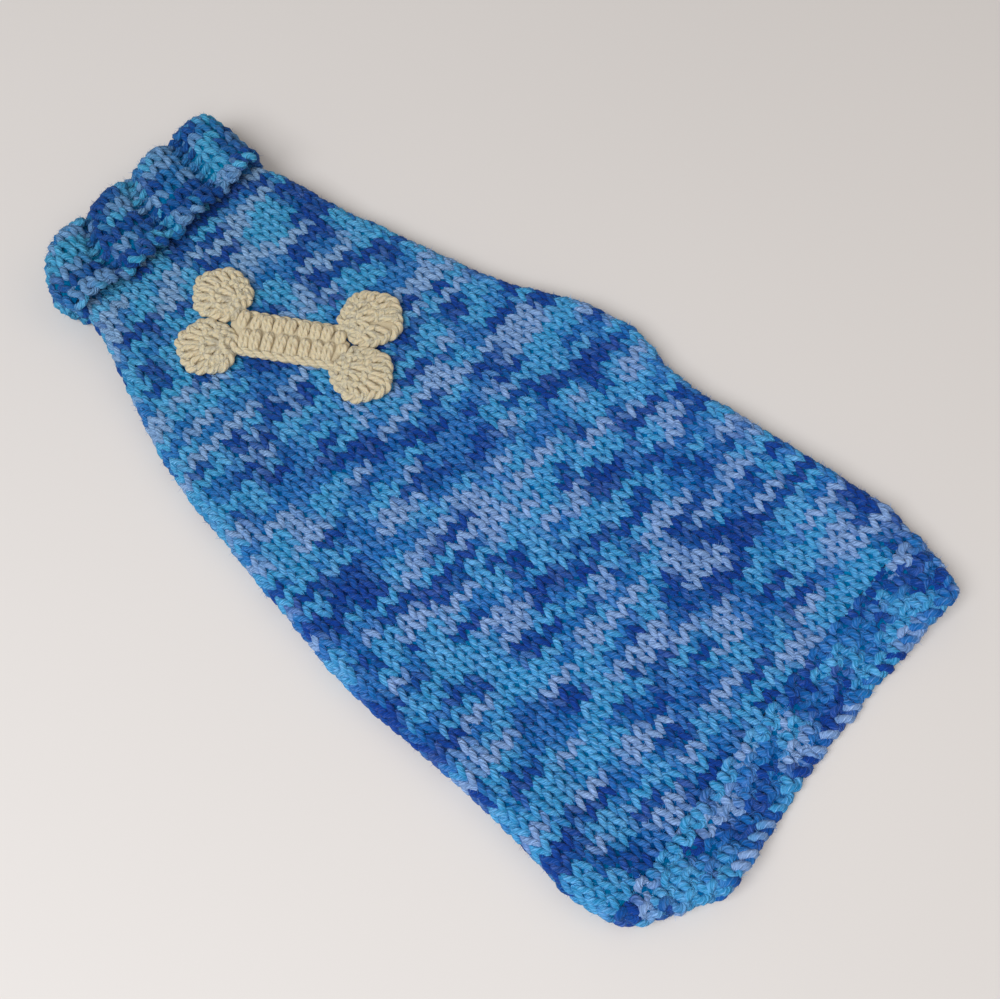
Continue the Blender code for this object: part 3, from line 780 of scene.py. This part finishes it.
def through_tree(name, guides, tree, inputs):
    """The plain mesh that a node tree makes of guides, which are used up."""
    holder = bpy.data.objects.new(name, guides)
    bpy.context.scene.collection.objects.link(holder)
    modifier = holder.modifiers.new("Yarn", "NODES")
    modifier.node_group = tree
    for item in tree.interface.items_tree:
        if item.in_out == "INPUT" and item.name in inputs:
            modifier[item.identifier] = inputs[item.name]
    graph = bpy.context.evaluated_depsgraph_get()
    made = bpy.data.meshes.new_from_object(holder.evaluated_get(graph), depsgraph=graph)
    made.name = name
    bpy.data.objects.remove(holder, do_unlink=True)
    bpy.data.meshes.remove(guides)
    for unused in [a.name for a in made.attributes if not (a.is_required or a.is_internal or a.name in KEPT)]:
        made.attributes.remove(made.attributes[unused])
    # Yarn is pressed flat where it lies on the table
    places = np.empty(3 * len(made.vertices), np.float32)
    made.vertices.foreach_get("co", places)
    places[2::3] = np.maximum(places[2::3], PRESSED * MM)
    made.vertices.foreach_set("co", places)
    return made


def knitted(name, lines, loose=1.0, **changed):
    """The mesh of a piece of knitting, from the guide lines of its courses."""
    sizes = bpy.context.scene.sweater_knit
    inputs = {
        "Yarn Radius": sizes.yarn_radius * loose,
        "Loop Height": sizes.loop_height,
        "Loop Lean": sizes.loop_lean,
        "Loop Depth": sizes.loop_depth,
        "Wander": sizes.wander,
        "Sides": sizes.sides,
        "Seed": sizes.seed,
        "Material": material(space_dyed_wool),
        **changed,
    }
    return through_tree(name, guide_mesh(lines), tree_named("Knitted Courses", knit_tree), inputs)


def stranded(name, lines, radius, sides, finish):
    """The mesh of loose strands that follow their guide lines."""
    seed = bpy.context.scene.sweater_knit.seed
    inputs = {"Yarn Radius": radius, "Sides": sides, "Seed": seed, "Material": finish}
    return through_tree(name, guide_mesh(lines), tree_named("Yarn", yarn_tree), inputs)


def fuzzy(*pieces):
    """Links the loose fibres on the upper side of finished pieces of yarn, one new piece for each."""
    sizes = bpy.context.scene.sweater_knit
    inputs = {
        "Fibres": sizes.fibres,
        "Fibre Length": sizes.fibre_length,
        "Fibre Radius": sizes.fibre_radius,
        "Seed": sizes.seed,
        "Material": material(wool_fibre),
    }
    fuzz = []
    for piece in pieces:
        mesh = piece.data.copy()
        mesh = through_tree(piece.name + "_fuzz", mesh, tree_named("Wool Fuzz", fuzz_tree), inputs)
        for unused in ("twist_run", "twist_round"):
            mesh.attributes.remove(mesh.attributes[unused])
        fuzz.append(link(mesh, "blue_wool"))
    return fuzz


def lying_depth(out_z):
    """How deep the yarn's middle lies: deeper where the cloth rests on the table, so it stays above it."""
    return TOP_DEPTH + (UNDER_DEPTH - TOP_DEPTH) * smooth(0.2, -0.8, out_z)


def middle_depth(out_z):
    """No depth: the cloth is given by its middle already."""
    return np.zeros_like(out_z)


def place_on(cloth, across, along, depth):
    """Places of the yarn's middle in a cloth, and their directions along the course, up the wale and out."""
    course, wale, out = (on_cloth(cloth, name, across, along) for name in ("course", "wale", "out"))
    out /= np.linalg.norm(out, axis=1, keepdims=True)
    return on_cloth(cloth, "place", across, along) - out * depth(out[:, 2:3]), course, wale, out


def dyed(stitch, row, streaks):
    """Shares of royal, turquoise and lavender dye at points along one course; the rest is the middle blue.

    The dyed lengths of neighbouring courses fall nearly beside each other, so the nearest of a field of
    random places gives the colour: patches a few stitches wide and about two rows tall. Lengths of this
    course alone break them up.
    """
    steps = np.cumsum([DYE_SHARES[name] for name in ("royal", "turquoise", "lavender")])
    low, high = np.floor(stitch.min() / DYE_WIDE) - 2, np.ceil(stitch.max() / DYE_WIDE) + 2
    columns, level = np.arange(low, high), math.floor(row / DYE_TALL)
    best, found = np.full(len(stitch), np.inf), np.full(len(stitch), 3)
    for near in (level - 1, level, level + 1):
        field = np.random.default_rng((DYE_SEED, int(near) + 1000))
        # As many random numbers for each level as its widest course needs, so that all its courses agree
        spots = field.random((200, 3))[(columns + 100).astype(int)]
        x = (columns + spots[:, 0]) * DYE_WIDE
        y = (near + spots[:, 1]) * DYE_TALL
        kind = np.searchsorted(steps, spots[:, 2])
        far = np.hypot((stitch[:, None] - x) / DYE_WIDE, (row + 0.5 - y) / DYE_TALL)
        nearest = far.argmin(axis=1)
        reach = far[np.arange(len(stitch)), nearest]
        found = np.where(reach < best, kind[nearest], found)
        best = np.minimum(best, reach)
    own = np.random.default_rng((DYE_SEED, int(row) + 5000))
    at = stitch.min() - 6.0 * own.random()
    while at < stitch.max():
        length = own.uniform(0.8, 2.8)
        if own.random() < streaks:
            found = np.where((stitch >= at) & (stitch < at + length), own.choice(4, p=STREAK_ODDS), found)
        at += length
    # The dyes run into each other over most of a stitch, and take unevenly
    soften = np.hanning(17)
    soften /= soften.sum()
    shares = []
    for k in (0, 1, 2):
        taken = (found == k) + own.normal(0.0, DYE_MOTTLE, len(stitch))
        shares.append(np.convolve(np.pad(taken, 8, "edge"), soften, "same")[8:-8])
    return np.clip(shares, 0.0, 1.0).T


def course_on(cloth, along, first, last, width, row, height, sign, depth, streaks):
    """The guide line of one course at a place up the wale: its stitches, first to last, and their size.

    sign(stitch, row) is 1 for a knit and -1 for a purl stitch.
    """
    stitch = np.linspace(first, last, (last - first) * STITCH_POINTS + 1)
    run = np.full(len(stitch), float(along))
    place, course, wale, out = place_on(cloth, stitch * width, run, depth)
    step = on_cloth(cloth, "step", stitch * width, run) * width
    # Between a knit and a purl stitch the yarn passes through the cloth
    number = np.clip(np.floor(stitch), first, last - 1)
    share = stitch - number
    here, before, after = (sign(number + k, row) for k in (0, -1, 1))
    turned = (before - here) * smooth(0.22, 0.0, share) + (after - here) * smooth(0.78, 1.0, share)
    side = here + turned / 2
    return {
        "place": place,
        "course": course * step * MM,
        "wale": wale * height * MM,
        "out": out,
        "bend": on_cloth(cloth, "bend", stitch * width, run)[:, 0] * height**2 / 2 * MM,
        "stitch": stitch,
        "side": side,
        "dye": dyed(stitch, row, streaks),
    }


def reach_of(cloth, along):
    """Both ends of a cloth across, in millimetres, at a place up the wale."""
    return tuple(float(np.interp(along, cloth["along"], cloth["reach"][:, k])) for k in (0, 1))


def course_places(start, end, count=None):
    """Where courses lie, evenly up the wale between two ends: so many, or as the row's height gives."""
    count = count or round((end - start) / ROW_HEIGHT)
    return start + (np.arange(count) + 0.5) * (end - start) / count


def panel_courses(cloth, first_row, alongs, sign, streaks=STREAKS):
    """Guide lines for the courses of a panel whose wales run side by side from its middle line."""
    height = abs(alongs[1] - alongs[0])
    lines = []
    for row, along in enumerate(alongs, first_row):
        width = float(read(STITCH, "width", along))
        first, last = (round(end / width) for end in reach_of(cloth, along))
        lines.append(course_on(cloth, along, first, last, width, row, height, sign, lying_depth, streaks))
    return lines


def strand(points, row=0):
    """The guide line of a loose strand through points in millimetres, dyed as the course of that number."""
    points = np.array(points, float)
    return {"place": points, "dye": dyed(way_along(points) / STITCH["width"][1], row, 1.0)}


def curve_through(points, count):
    """Points along a smooth curve through the given ones, count to each step."""
    points = np.array(points, float)
    ends = np.concatenate(([2 * points[0] - points[1]], points, [2 * points[-1] - points[-2]]))
    steps = []
    for k in range(1, len(points)):
        a, b, c, d = ends[k - 1 : k + 3]
        t = np.linspace(0.0, 1.0, count, endpoint=False)[:, None]
        bend, twist = 2 * a - 5 * b + 4 * c - d, 3 * b - a - 3 * c + d
        steps.append(0.5 * (2 * b + (c - a) * t + bend * t**2 + twist * t**3))
    return np.concatenate(steps + [points[-1:]])


def rope(middle, aside, out, wide, high, pitch, strands=2, start=0.0):
    """Strands that wind round a line: so far aside and so far outwards of it, one turn to each pitch."""
    run = way_along(middle)
    turns = max(1, round(run[-1] / pitch))
    lines = []
    for k in range(strands):
        angle = 2 * np.pi * (turns * run / run[-1] + k / strands) + start
        lines.append(middle + aside * wide * np.cos(angle)[:, None] + out * high * np.sin(angle)[:, None])
    return lines


def edge_loops(cloth, along, stitches, width, reach, inward, depth, row):
    """Loops of yarn over a cloth's edge, one to a stitch and each reaching so many stitches along it.

    inward is 1 or -1, the way back from the edge up the wale.
    """
    stray = np.random.default_rng(row)
    lines = []
    for k in stitches:
        across = k + stray.uniform(-0.2, 0.2)
        across = across + stray.uniform(0.6, 1.2) * reach * np.array((0.0, 0.3, 0.55, 0.8, 1.0))
        place, _, wale, out = place_on(cloth, across * width, np.full(5, float(along)), depth)
        back = inward * (np.array((3.0, 1.4, -0.1, 0.8, 2.6)) + stray.normal(0.0, 0.3))
        proud = np.array((0.1, 0.9, 0.3, -1.1, -1.1)) * (0.75 + 0.25 * smooth(-0.2, 0.6, out[:, 2]))
        points = curve_through(place + wale * back[:, None] + out * proud[:, None], 5)
        lines.append(strand(points, row + k // 2))
    return lines


def shell_mesh(name, outer, inner, finish, ring=False):
    """A closed wall between two grids of places in millimetres; a ring's last column joins its first."""
    rows, columns = outer.shape[:2]
    count = rows * columns
    number = np.arange(2 * count).reshape(2, rows, columns)
    if ring:
        number = np.concatenate((number, number[:, :, :1]), axis=2)
    strips = [(number[k, :-1], number[k, 1:]) for k in (0, 1)]
    strips += [(number[0, k], number[1, k]) for k in (0, -1)]
    if not ring:
        strips += [(number[0, :, k], number[1, :, k]) for k in (0, -1)]
    faces = []
    for low, high in strips:
        quads = np.stack((low[..., :-1], low[..., 1:], high[..., 1:], high[..., :-1]), axis=-1)
        faces += quads.reshape(-1, 4).tolist()
    mesh = bpy.data.meshes.new(name)
    mesh.from_pydata((np.concatenate((outer.reshape(-1, 3), inner.reshape(-1, 3))) * MM).tolist(), [], faces)
    turned = bmesh.new()
    turned.from_mesh(mesh)
    bmesh.ops.recalc_face_normals(turned, faces=turned.faces)
    turned.to_mesh(mesh)
    turned.free()
    mesh.materials.append(finish)
    mesh.shade_smooth()
    return mesh


def ground_mesh(name, cloth, start, end, depth, ring=False, first_row=0):
    """A thin closed sheet in the middle of a cloth, just inside its stitches' ends and dyed as they are, in
    the painted shade between the loops.
    """
    grid, dye = [], []
    for along in np.linspace(start, end, max(3, round(abs(end - start) / ROW_HEIGHT) + 1)):
        if ring:
            across = np.linspace(0.0, COLLAR_STITCHES, 4 * COLLAR_STITCHES, endpoint=False)
            width = 1.0
        else:
            low, high = reach_of(cloth, along)
            across = np.linspace(low + GROUND_INSET, high - GROUND_INSET, 91)
            width = float(read(STITCH, "width", along))
        place, _, _, out = place_on(cloth, across, np.full(len(across), along), depth)
        grid.append((place + out * GROUND / 2, place - out * GROUND / 2))
        dye.append(dyed(across / width, first_row + round((along - start) / ROW_HEIGHT - 0.5), STREAKS))
    grid = np.array(grid)
    mesh = shell_mesh(name, grid[:, 0], grid[:, 1], material(shaded_knit_ground), ring)
    stored = mesh.attributes.new("dye", "FLOAT_VECTOR", "POINT")
    stored.data.foreach_set("vector", np.tile(np.concatenate(dye), (2, 1)).ravel().astype(np.float32))
    return mesh


def all_knit(stitch, row):
    """Stocking stitch."""
    return np.ones(len(stitch))


def moss(stitch, row):
    """Moss stitch: knit and purl by turns, the other way round in the next row."""
    return np.where((stitch + row) % 2 < 1, 1.0, -1.0)


def ribbing(stitch, row):
    """Ribbing: each rib's knit stitches and then its purl ones."""
    return np.where(stitch % RIB_STITCHES < KNIT_STITCHES, 1.0, -1.0)


def bone_point(along, across, height):
    """A place on the bone: distances along and across it from its middle, and above the back."""
    along, across = np.asarray(along, float), np.asarray(across, float)
    x = BONE_CENTRE[0] + along * math.sin(BONE_TURN) + across * math.cos(BONE_TURN)
    y = BONE_CENTRE[1] - along * math.cos(BONE_TURN) + across * math.sin(BONE_TURN)
    return np.stack((x, y, top_height(x, y) + SEAM + height), axis=-1)


def knob_strands(along, across, radius, seed):
    """Strands of a crocheted knob: loops that fan out from the shaft's end, yarn across each, and a rim."""
    stray = np.random.default_rng(seed)
    towards = math.atan2(-across * 0.5, -along)  # the way back to the shaft
    root = np.array((along + 0.8 * radius * math.cos(towards), across + 0.8 * radius * math.sin(towards)))
    rim = radius - 1.5
    lines = []

    def line(points, raised, count=4):
        """A strand through places (along, across) on the knob, each raised over its dome."""
        way = curve_through(points, count)
        share = np.minimum(1.0, np.hypot(way[:, 0] - along, way[:, 1] - across) / radius)
        heights = np.interp(np.linspace(0, 1, len(way)), np.linspace(0, 1, len(raised)), raised)
        heights = heights + PAD_RIM + KNOB_DOME * np.sqrt(1.0 - share**2.4)
        lines.append(strand(bone_point(way[:, 0], way[:, 1], heights)))

    # Two rounds of stitches, each a loop whose legs run outwards and meet, with the yarn drawn across them
    for start, end, count in ((0.06, 0.6, 5), (0.5, 1.0, 8)):
        for k in range(count):
            angle = towards + math.pi + (k / (count - 1) - 0.5) * math.radians(235) + stray.normal(0, 0.1)
            run = np.array((along + rim * math.cos(angle), across + rim * math.sin(angle))) - root
            foot, run = root + run * start, run * (end - start)
            ahead = run / np.hypot(*run)
            aside = np.array((-ahead[1], ahead[0]))
            loop = zip((0.0, 0.45, 0.85, 1.0, 0.85, 0.45, 0.0), (-0.5, -1.2, -1.4, 0.2, 1.4, 1.2, 0.5))
            line([foot + run * u + aside * v for u, v in loop], (-0.6, 0.2, 0.4, -0.2, 0.4, 0.2, -0.6), 5)
            middle = foot + run * stray.uniform(0.1, 0.4)
            slant = ahead * stray.uniform(0.4, 1.6) * stray.choice((-1, 1))
            line((middle - aside * 2.0 - slant, middle, middle + aside * 2.0 + slant), (-0.5, 0.8, -0.5))
    # The rim: the loops that close each stitch, end to end
    turn = np.linspace(0.0, 2 * np.pi, 121)
    uneven = rim + 0.5 * np.sin(5 * turn + stray.uniform(0, 6))
    ring = np.stack((along + uneven * np.cos(turn), across + uneven * np.sin(turn)), axis=1)
    middle = bone_point(ring[:, 0], ring[:, 1], np.full(len(turn), 1.5))
    outer = bone_point(ring[:, 0] + np.cos(turn), ring[:, 1] + np.sin(turn), np.full(len(turn), 1.5)) - middle
    up = np.tile((0.0, 0.0, 1.0), (len(turn), 1))
    lines.extend(strand(points) for points in rope(middle, outer, up, 0.95, 0.7, 7.0, 2, stray.uniform(0, 6)))
    return lines


def shaft_span(along):
    """How far the shaft reaches to both sides at a place along the bone, between the knobs at its ends."""
    low, high = SHAFT_ACROSS - SHAFT_HALF_WIDTH, SHAFT_ACROSS + SHAFT_HALF_WIDTH
    for knob_along, knob_across, radius in KNOBS.values():
        chord = math.sqrt(max(0.0, (radius - 0.4) ** 2 - (along - knob_along) ** 2))
        if chord > 0.0 and knob_across < 0:
            low = max(low, knob_across + chord)
        elif chord > 0.0:
            high = min(high, knob_across - chord)
    return low, high


def shaft_strands():
    """Strands of the bone's shaft: two rows of single crochet and the chains along its sides."""
    stray = np.random.default_rng(5)
    lines = []
    between = SHAFT_ACROSS + 0.9
    for k in range(-5, 6):
        for row in (0, 1):
            along = (k + 0.5 * row) * CROCHET_WIDTH + stray.normal(0, 0.35)
            if abs(along) > 19.8:
                continue
            low, high = shaft_span(along)
            foot, head = (between + 0.5, high - 1.3) if row == 0 else (low + 1.6, between - 0.4)
            tall = head - foot
            if tall < 1.8:
                continue
            # Each stitch is a loop whose two legs lie side by side
            tilt = stray.normal(0.5, 0.6)
            sideways = (-0.4, -0.8, -0.85 + 0.6 * tilt, tilt, 0.85 + 0.6 * tilt, 0.8, 0.4)
            up_share = (0.0, 0.3, 0.8, 1.0, 0.8, 0.3, 0.0)
            heights = np.array((0.9, 2.3, 2.7, 2.1, 2.7, 2.3, 0.9)) + stray.normal(0, 0.2)
            points = [(along + a, foot + u * tall, h) for a, u, h in zip(sideways, up_share, heights)]
            points = curve_through(points, 4)
            lines.append(strand(bone_point(points[:, 0], points[:, 1], points[:, 2])))
    aside = np.tile((math.cos(BONE_TURN), math.sin(BONE_TURN), 0.0), (90, 1))
    up = np.tile((0.0, 0.0, 1.0), (90, 1))
    along = np.linspace(-18.5, 18.5, 90)
    for edge, height in ((1.1 - SHAFT_HALF_WIDTH, 1.3), (SHAFT_HALF_WIDTH - 0.7, 1.0)):
        middle = bone_point(along, np.full(90, SHAFT_ACROSS + edge), np.full(90, height))
        lines.extend(strand(points) for points in rope(middle, aside, up, 0.6, 0.45, 7.8))
    return lines


def edging(name, loops, loose):
    """Link the loops of a cast-on or a cast-off, of yarn so many times as thick as the panels'."""
    sizes = bpy.context.scene.sweater_knit
    mesh = stranded(name, loops, sizes.yarn_radius * loose, sizes.sides, material(space_dyed_wool))
    return link(mesh, "blue_wool")


def crocheted(node, lines, thick):
    """Link the strands that stand for one of the bone's solids, so many times as thick as the bare cotton."""
    sizes = bpy.context.scene.sweater_knit
    radius, sides = thick * sizes.cotton_radius, sizes.cotton_sides
    link(stranded(node + "_strands", lines, radius, sides, material(crochet_cotton)), "cream_cotton", node)


def cotton_pad(node, along, across, dome, ring=False):
    """Link the closed ground behind one solid's strands, from the back's face up to a dome, in the painted
    shade between the strands.
    """
    upper, lower = bone_point(along, across, PAD_RIM + dome), bone_point(along, across, 0.0)
    link(shell_mesh(node + "_ground", upper, lower, material(shaded_cotton_ground), ring), "cream_cotton")


# --- Operators -------------------------------------------------------------------------------------------


class SWEATER_OT_belly(bpy.types.Operator):
    """Knit the belly panel, which lies under the back"""

    bl_idname = "sweater.belly"
    bl_label = "Knit Belly"

    def execute(self, context):
        cloth = belly_cloth()
        lines = panel_courses(cloth, BELLY_ROW, course_places(BELLY_EDGE, NECK_SEAM), all_knit)
        stitches = link(knitted("belly_stitches", lines, Sides=5), "blue_wool")
        start, end = BELLY_EDGE + 0.8, NECK_SEAM - 0.5
        mesh = ground_mesh("belly_ground", cloth, start, end, lying_depth, first_row=BELLY_ROW)
        ground = link(mesh, "blue_wool", "belly_panel")
        return {"FINISHED"}


class SWEATER_OT_back(bpy.types.Operator):
    """Knit the back panel with its turned-under side edges"""

    bl_idname = "sweater.back"
    bl_label = "Knit Back"

    def execute(self, context):
        cloth = back_cloth(HEM_SEAM, NECK_SEAM)
        alongs = course_places(HEM_SEAM, NECK_SEAM)
        half = len(alongs) // 2
        rear = knitted("back_stitches_rear", panel_courses(cloth, 0, alongs[:half], all_knit))
        front = knitted("back_stitches_front", panel_courses(cloth, half, alongs[half:], all_knit))
        stitches = [link(mesh, "blue_wool") for mesh in (rear, front)]
        mesh = ground_mesh("back_ground", cloth, HEM_SEAM + 0.5, NECK_SEAM - 0.5, lying_depth)
        ground = link(mesh, "blue_wool", "back_panel")
        stitches += fuzzy(*stitches)
        return {"FINISHED"}


class SWEATER_OT_hem(bpy.types.Operator):
    """Knit the hem band in moss stitch and cast on its edge"""

    bl_idname = "sweater.hem"
    bl_label = "Knit Hem Band"

    def execute(self, context):
        sizes = context.scene.sweater_knit
        cloth = back_cloth(HEM_EDGE, HEM_SEAM)
        alongs = course_places(HEM_EDGE + 2.0, HEM_SEAM, HEM_ROWS)
        lines = panel_courses(cloth, -HEM_ROWS, alongs, moss, EDGE_STREAKS)
        mesh = knitted("hem_stitches", lines, sizes.hem_loose, **HEM_LOOPS, Wander=HEM_WANDER * sizes.wander)
        stitches = link(mesh, "blue_wool")
        width = float(read(STITCH, "width", HEM_EDGE))
        low, high = (round(end / width) for end in reach_of(cloth, HEM_EDGE))
        stitch = range(low, high - 1)
        loops = edge_loops(cloth, HEM_EDGE + 1.7, stitch, width, 1.2, 1, lying_depth, CAST_ON_ROW)
        edge = edging("hem_cast_on", loops, sizes.hem_loose)
        start, end = HEM_EDGE + 1.5, HEM_SEAM - 0.3
        mesh = ground_mesh("hem_ground", cloth, start, end, lying_depth, first_row=-HEM_ROWS)
        ground = link(mesh, "blue_wool", "hem_band")
        pieces = [stitches, edge, *fuzzy(stitches, edge)]
        return {"FINISHED"}


class SWEATER_OT_collar(bpy.types.Operator):
    """Knit the ribbed collar, folded over, and cast off its edge"""

    bl_idname = "sweater.collar"
    bl_label = "Knit Collar"

    def execute(self, context):
        cloth = collar_cloth()
        length = float(cloth["along"][-1])
        alongs = course_places(0.0, length - 1.4, COLLAR_ROWS)
        course = {"first": 0, "last": COLLAR_STITCHES, "width": 1.0, "height": alongs[1] - alongs[0]}
        course.update(sign=ribbing, depth=middle_depth, streaks=EDGE_STREAKS)
        lines = [course_on(cloth, along, row=row, **course) for row, along in enumerate(alongs, COLLAR_ROW)]
        loops = edge_loops(cloth, length, range(COLLAR_STITCHES), 1.0, 1.0, -1, middle_depth, CAST_OFF_ROW)
        for line in lines + loops:
            # The collar's own mix of dyes, with extra royal that darkens it as painted shade
            line["dye"] = np.minimum(line["dye"] * COLLAR_DYE_AND_SHADE["times"] + COLLAR_DYE_AND_SHADE["more"], 1.0)
        wander = COLLAR_WANDER * context.scene.sweater_knit.wander
        mesh = knitted("collar_stitches", lines, COLLAR_LOOSE, **COLLAR_LOOPS, Wander=wander)
        stitches = link(mesh, "blue_wool")
        edge = edging("collar_cast_off", loops, COLLAR_LOOSE)
        mesh = ground_mesh("collar_ground", cloth, 0.5, length - 2.4, middle_depth, True, COLLAR_ROW)
        ground = link(mesh, "blue_wool", "collar")
        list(fuzzy(stitches, edge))
        return {"FINISHED"}


class SWEATER_OT_bone(bpy.types.Operator):
    """Crochet the bone that is sewn on the back"""

    bl_idname = "sweater.bone"
    bl_label = "Crochet Bone"

    def execute(self, context):
        for seed, (node, (along, across, radius)) in enumerate(KNOBS.items(), KNOB_SEED):
            crocheted(node, knob_strands(along, across, radius, seed), 1.25)
            turn = np.linspace(0.0, 2 * np.pi, 48, endpoint=False)
            shares = np.array((0.02, 0.4, 0.7, 0.9, 1.0))[:, None] + 0.0 * turn
            reach = shares * (radius - KNOB_INSET)
            dome = KNOB_DOME * np.sqrt(1 - shares**2 * 0.95)
            cotton_pad(node, along + reach * np.cos(turn), across + reach * np.sin(turn), dome, True)
        crocheted("bone_shaft", shaft_strands(), 1.28)
        alongs = np.tile(np.linspace(-21.0, 21.0, 29), (9, 1))
        spans = np.array([shaft_span(along) for along in alongs[0]])
        shares = np.linspace(0.0, 1.0, 9)[:, None]
        low, high = spans[:, 0] + SHAFT_INSET, spans[:, 1] - SHAFT_INSET
        acrosses = low * (1 - shares) + high * shares
        dome = SHAFT_DOME * np.sqrt(1 - 0.98 * (2 * shares - 1) ** 2) + 0 * alongs
        cotton_pad("bone_shaft", alongs, acrosses, dome)
        return {"FINISHED"}


class SWEATER_OT_stage(bpy.types.Operator):
    """Set the table, the lights and the camera"""

    bl_idname = "sweater.stage"
    bl_label = "Set Stage"

    def execute(self, context):
        scene = context.scene
        mesh = bpy.data.meshes.new("table")
        half = 3.0
        corners = [(-half, -half, 0), (half, -half, 0), (half, half, 0), (-half, half, 0)]
        mesh.from_pydata(corners, [], [(0, 1, 2, 3)])
        mesh.materials.append(material(matt_table))
        table = bpy.data.objects.new("table", mesh)
        scene.collection.objects.link(table)

        # Cool daylight from two windows and the warmer light of the room
        for name, place, size, power, colour in (
            ("window", (-0.9, 0.1, 1.1), 0.8, 15.0, (0.9, 0.95, 1.0)),
            ("second_window", (-0.5, -0.5, 0.9), 0.5, 2.8, (0.92, 0.96, 1.0)),
            ("room", (0.9, -0.9, 1.4), 1.2, 3.0, (1.0, 0.86, 0.7)),
        ):
            light = bpy.data.lights.new(name, "AREA")
            light.size, light.energy, light.color = size, power, colour
            lamp = bpy.data.objects.new(name, light)
            scene.collection.objects.link(lamp)
            lamp.location = place
            lamp.rotation_euler = (-Vector(place)).to_track_quat("-Z", "Y").to_euler()
        scene.world = bpy.data.worlds.new("studio")
        scene.world.use_nodes = True
        air = scene.world.node_tree.nodes["Background"].inputs
        air["Color"].default_value = (1.0, 0.98, 0.96, 1.0)
        air["Strength"].default_value = 0.37

        # The camera looks down at the tilt, turned so far from +Y towards +X
        turn, tilt, place = math.radians(49.62), math.radians(65.68), (-0.1332, -0.1401, 0.3959)
        right = Vector((math.cos(turn), -math.sin(turn), 0.0))
        ahead = Vector((math.sin(turn), math.cos(turn), 0.0))
        look = ahead * math.cos(tilt) - Vector((0, 0, 1)) * math.sin(tilt)
        data = bpy.data.cameras.new("camera")
        data.sensor_width, data.lens, data.clip_start = 36.0, 46.8, 0.01
        camera = bpy.data.objects.new("camera", data)
        scene.collection.objects.link(camera)
        facing = Matrix((right, right.cross(look), -look)).transposed().to_4x4()
        camera.matrix_world = Matrix.Translation(place) @ facing
        scene.camera = camera
        scene.view_settings.view_transform = "Standard"
        return {"FINISHED"}


class SWEATER_PT_panel(bpy.types.Panel):
    """Sizes, colours and pieces of the dog sweater"""

    bl_idname = "SWEATER_PT_panel"
    bl_label = "Dog Sweater"
    bl_space_type = "VIEW_3D"
    bl_region_type = "UI"
    bl_category = "Dog Sweater"

    def draw(self, context):
        for group in (context.scene.sweater_knit, context.scene.sweater_dye):
            box = self.layout.box()
            for name in group.__annotations__:
                box.prop(group, name)
        for operator in (*PIECES, SWEATER_OT_stage):
            self.layout.operator(operator.bl_idname)


PIECES = (SWEATER_OT_belly, SWEATER_OT_back, SWEATER_OT_hem, SWEATER_OT_collar, SWEATER_OT_bone)
CLASSES = (SweaterKnit, SweaterDye, *PIECES, SWEATER_OT_stage, SWEATER_PT_panel)


def register():
    """Register the classes and give the scene its settings."""
    for made in CLASSES:
        bpy.utils.register_class(made)
    bpy.types.Scene.sweater_knit = PointerProperty(type=SweaterKnit)
    bpy.types.Scene.sweater_dye = PointerProperty(type=SweaterDye)


def unregister():
    """Take the settings off the scene and unregister the classes."""
    del bpy.types.Scene.sweater_dye
    del bpy.types.Scene.sweater_knit
    for made in reversed(CLASSES):
        bpy.utils.unregister_class(made)


def main():
    """Build every piece and the stage."""
    register()
    bpy.ops.sweater.belly()
    bpy.ops.sweater.back()
    bpy.ops.sweater.hem()
    bpy.ops.sweater.collar()
    bpy.ops.sweater.bone()
    bpy.ops.sweater.stage()


if __name__ == "__main__":
    main()
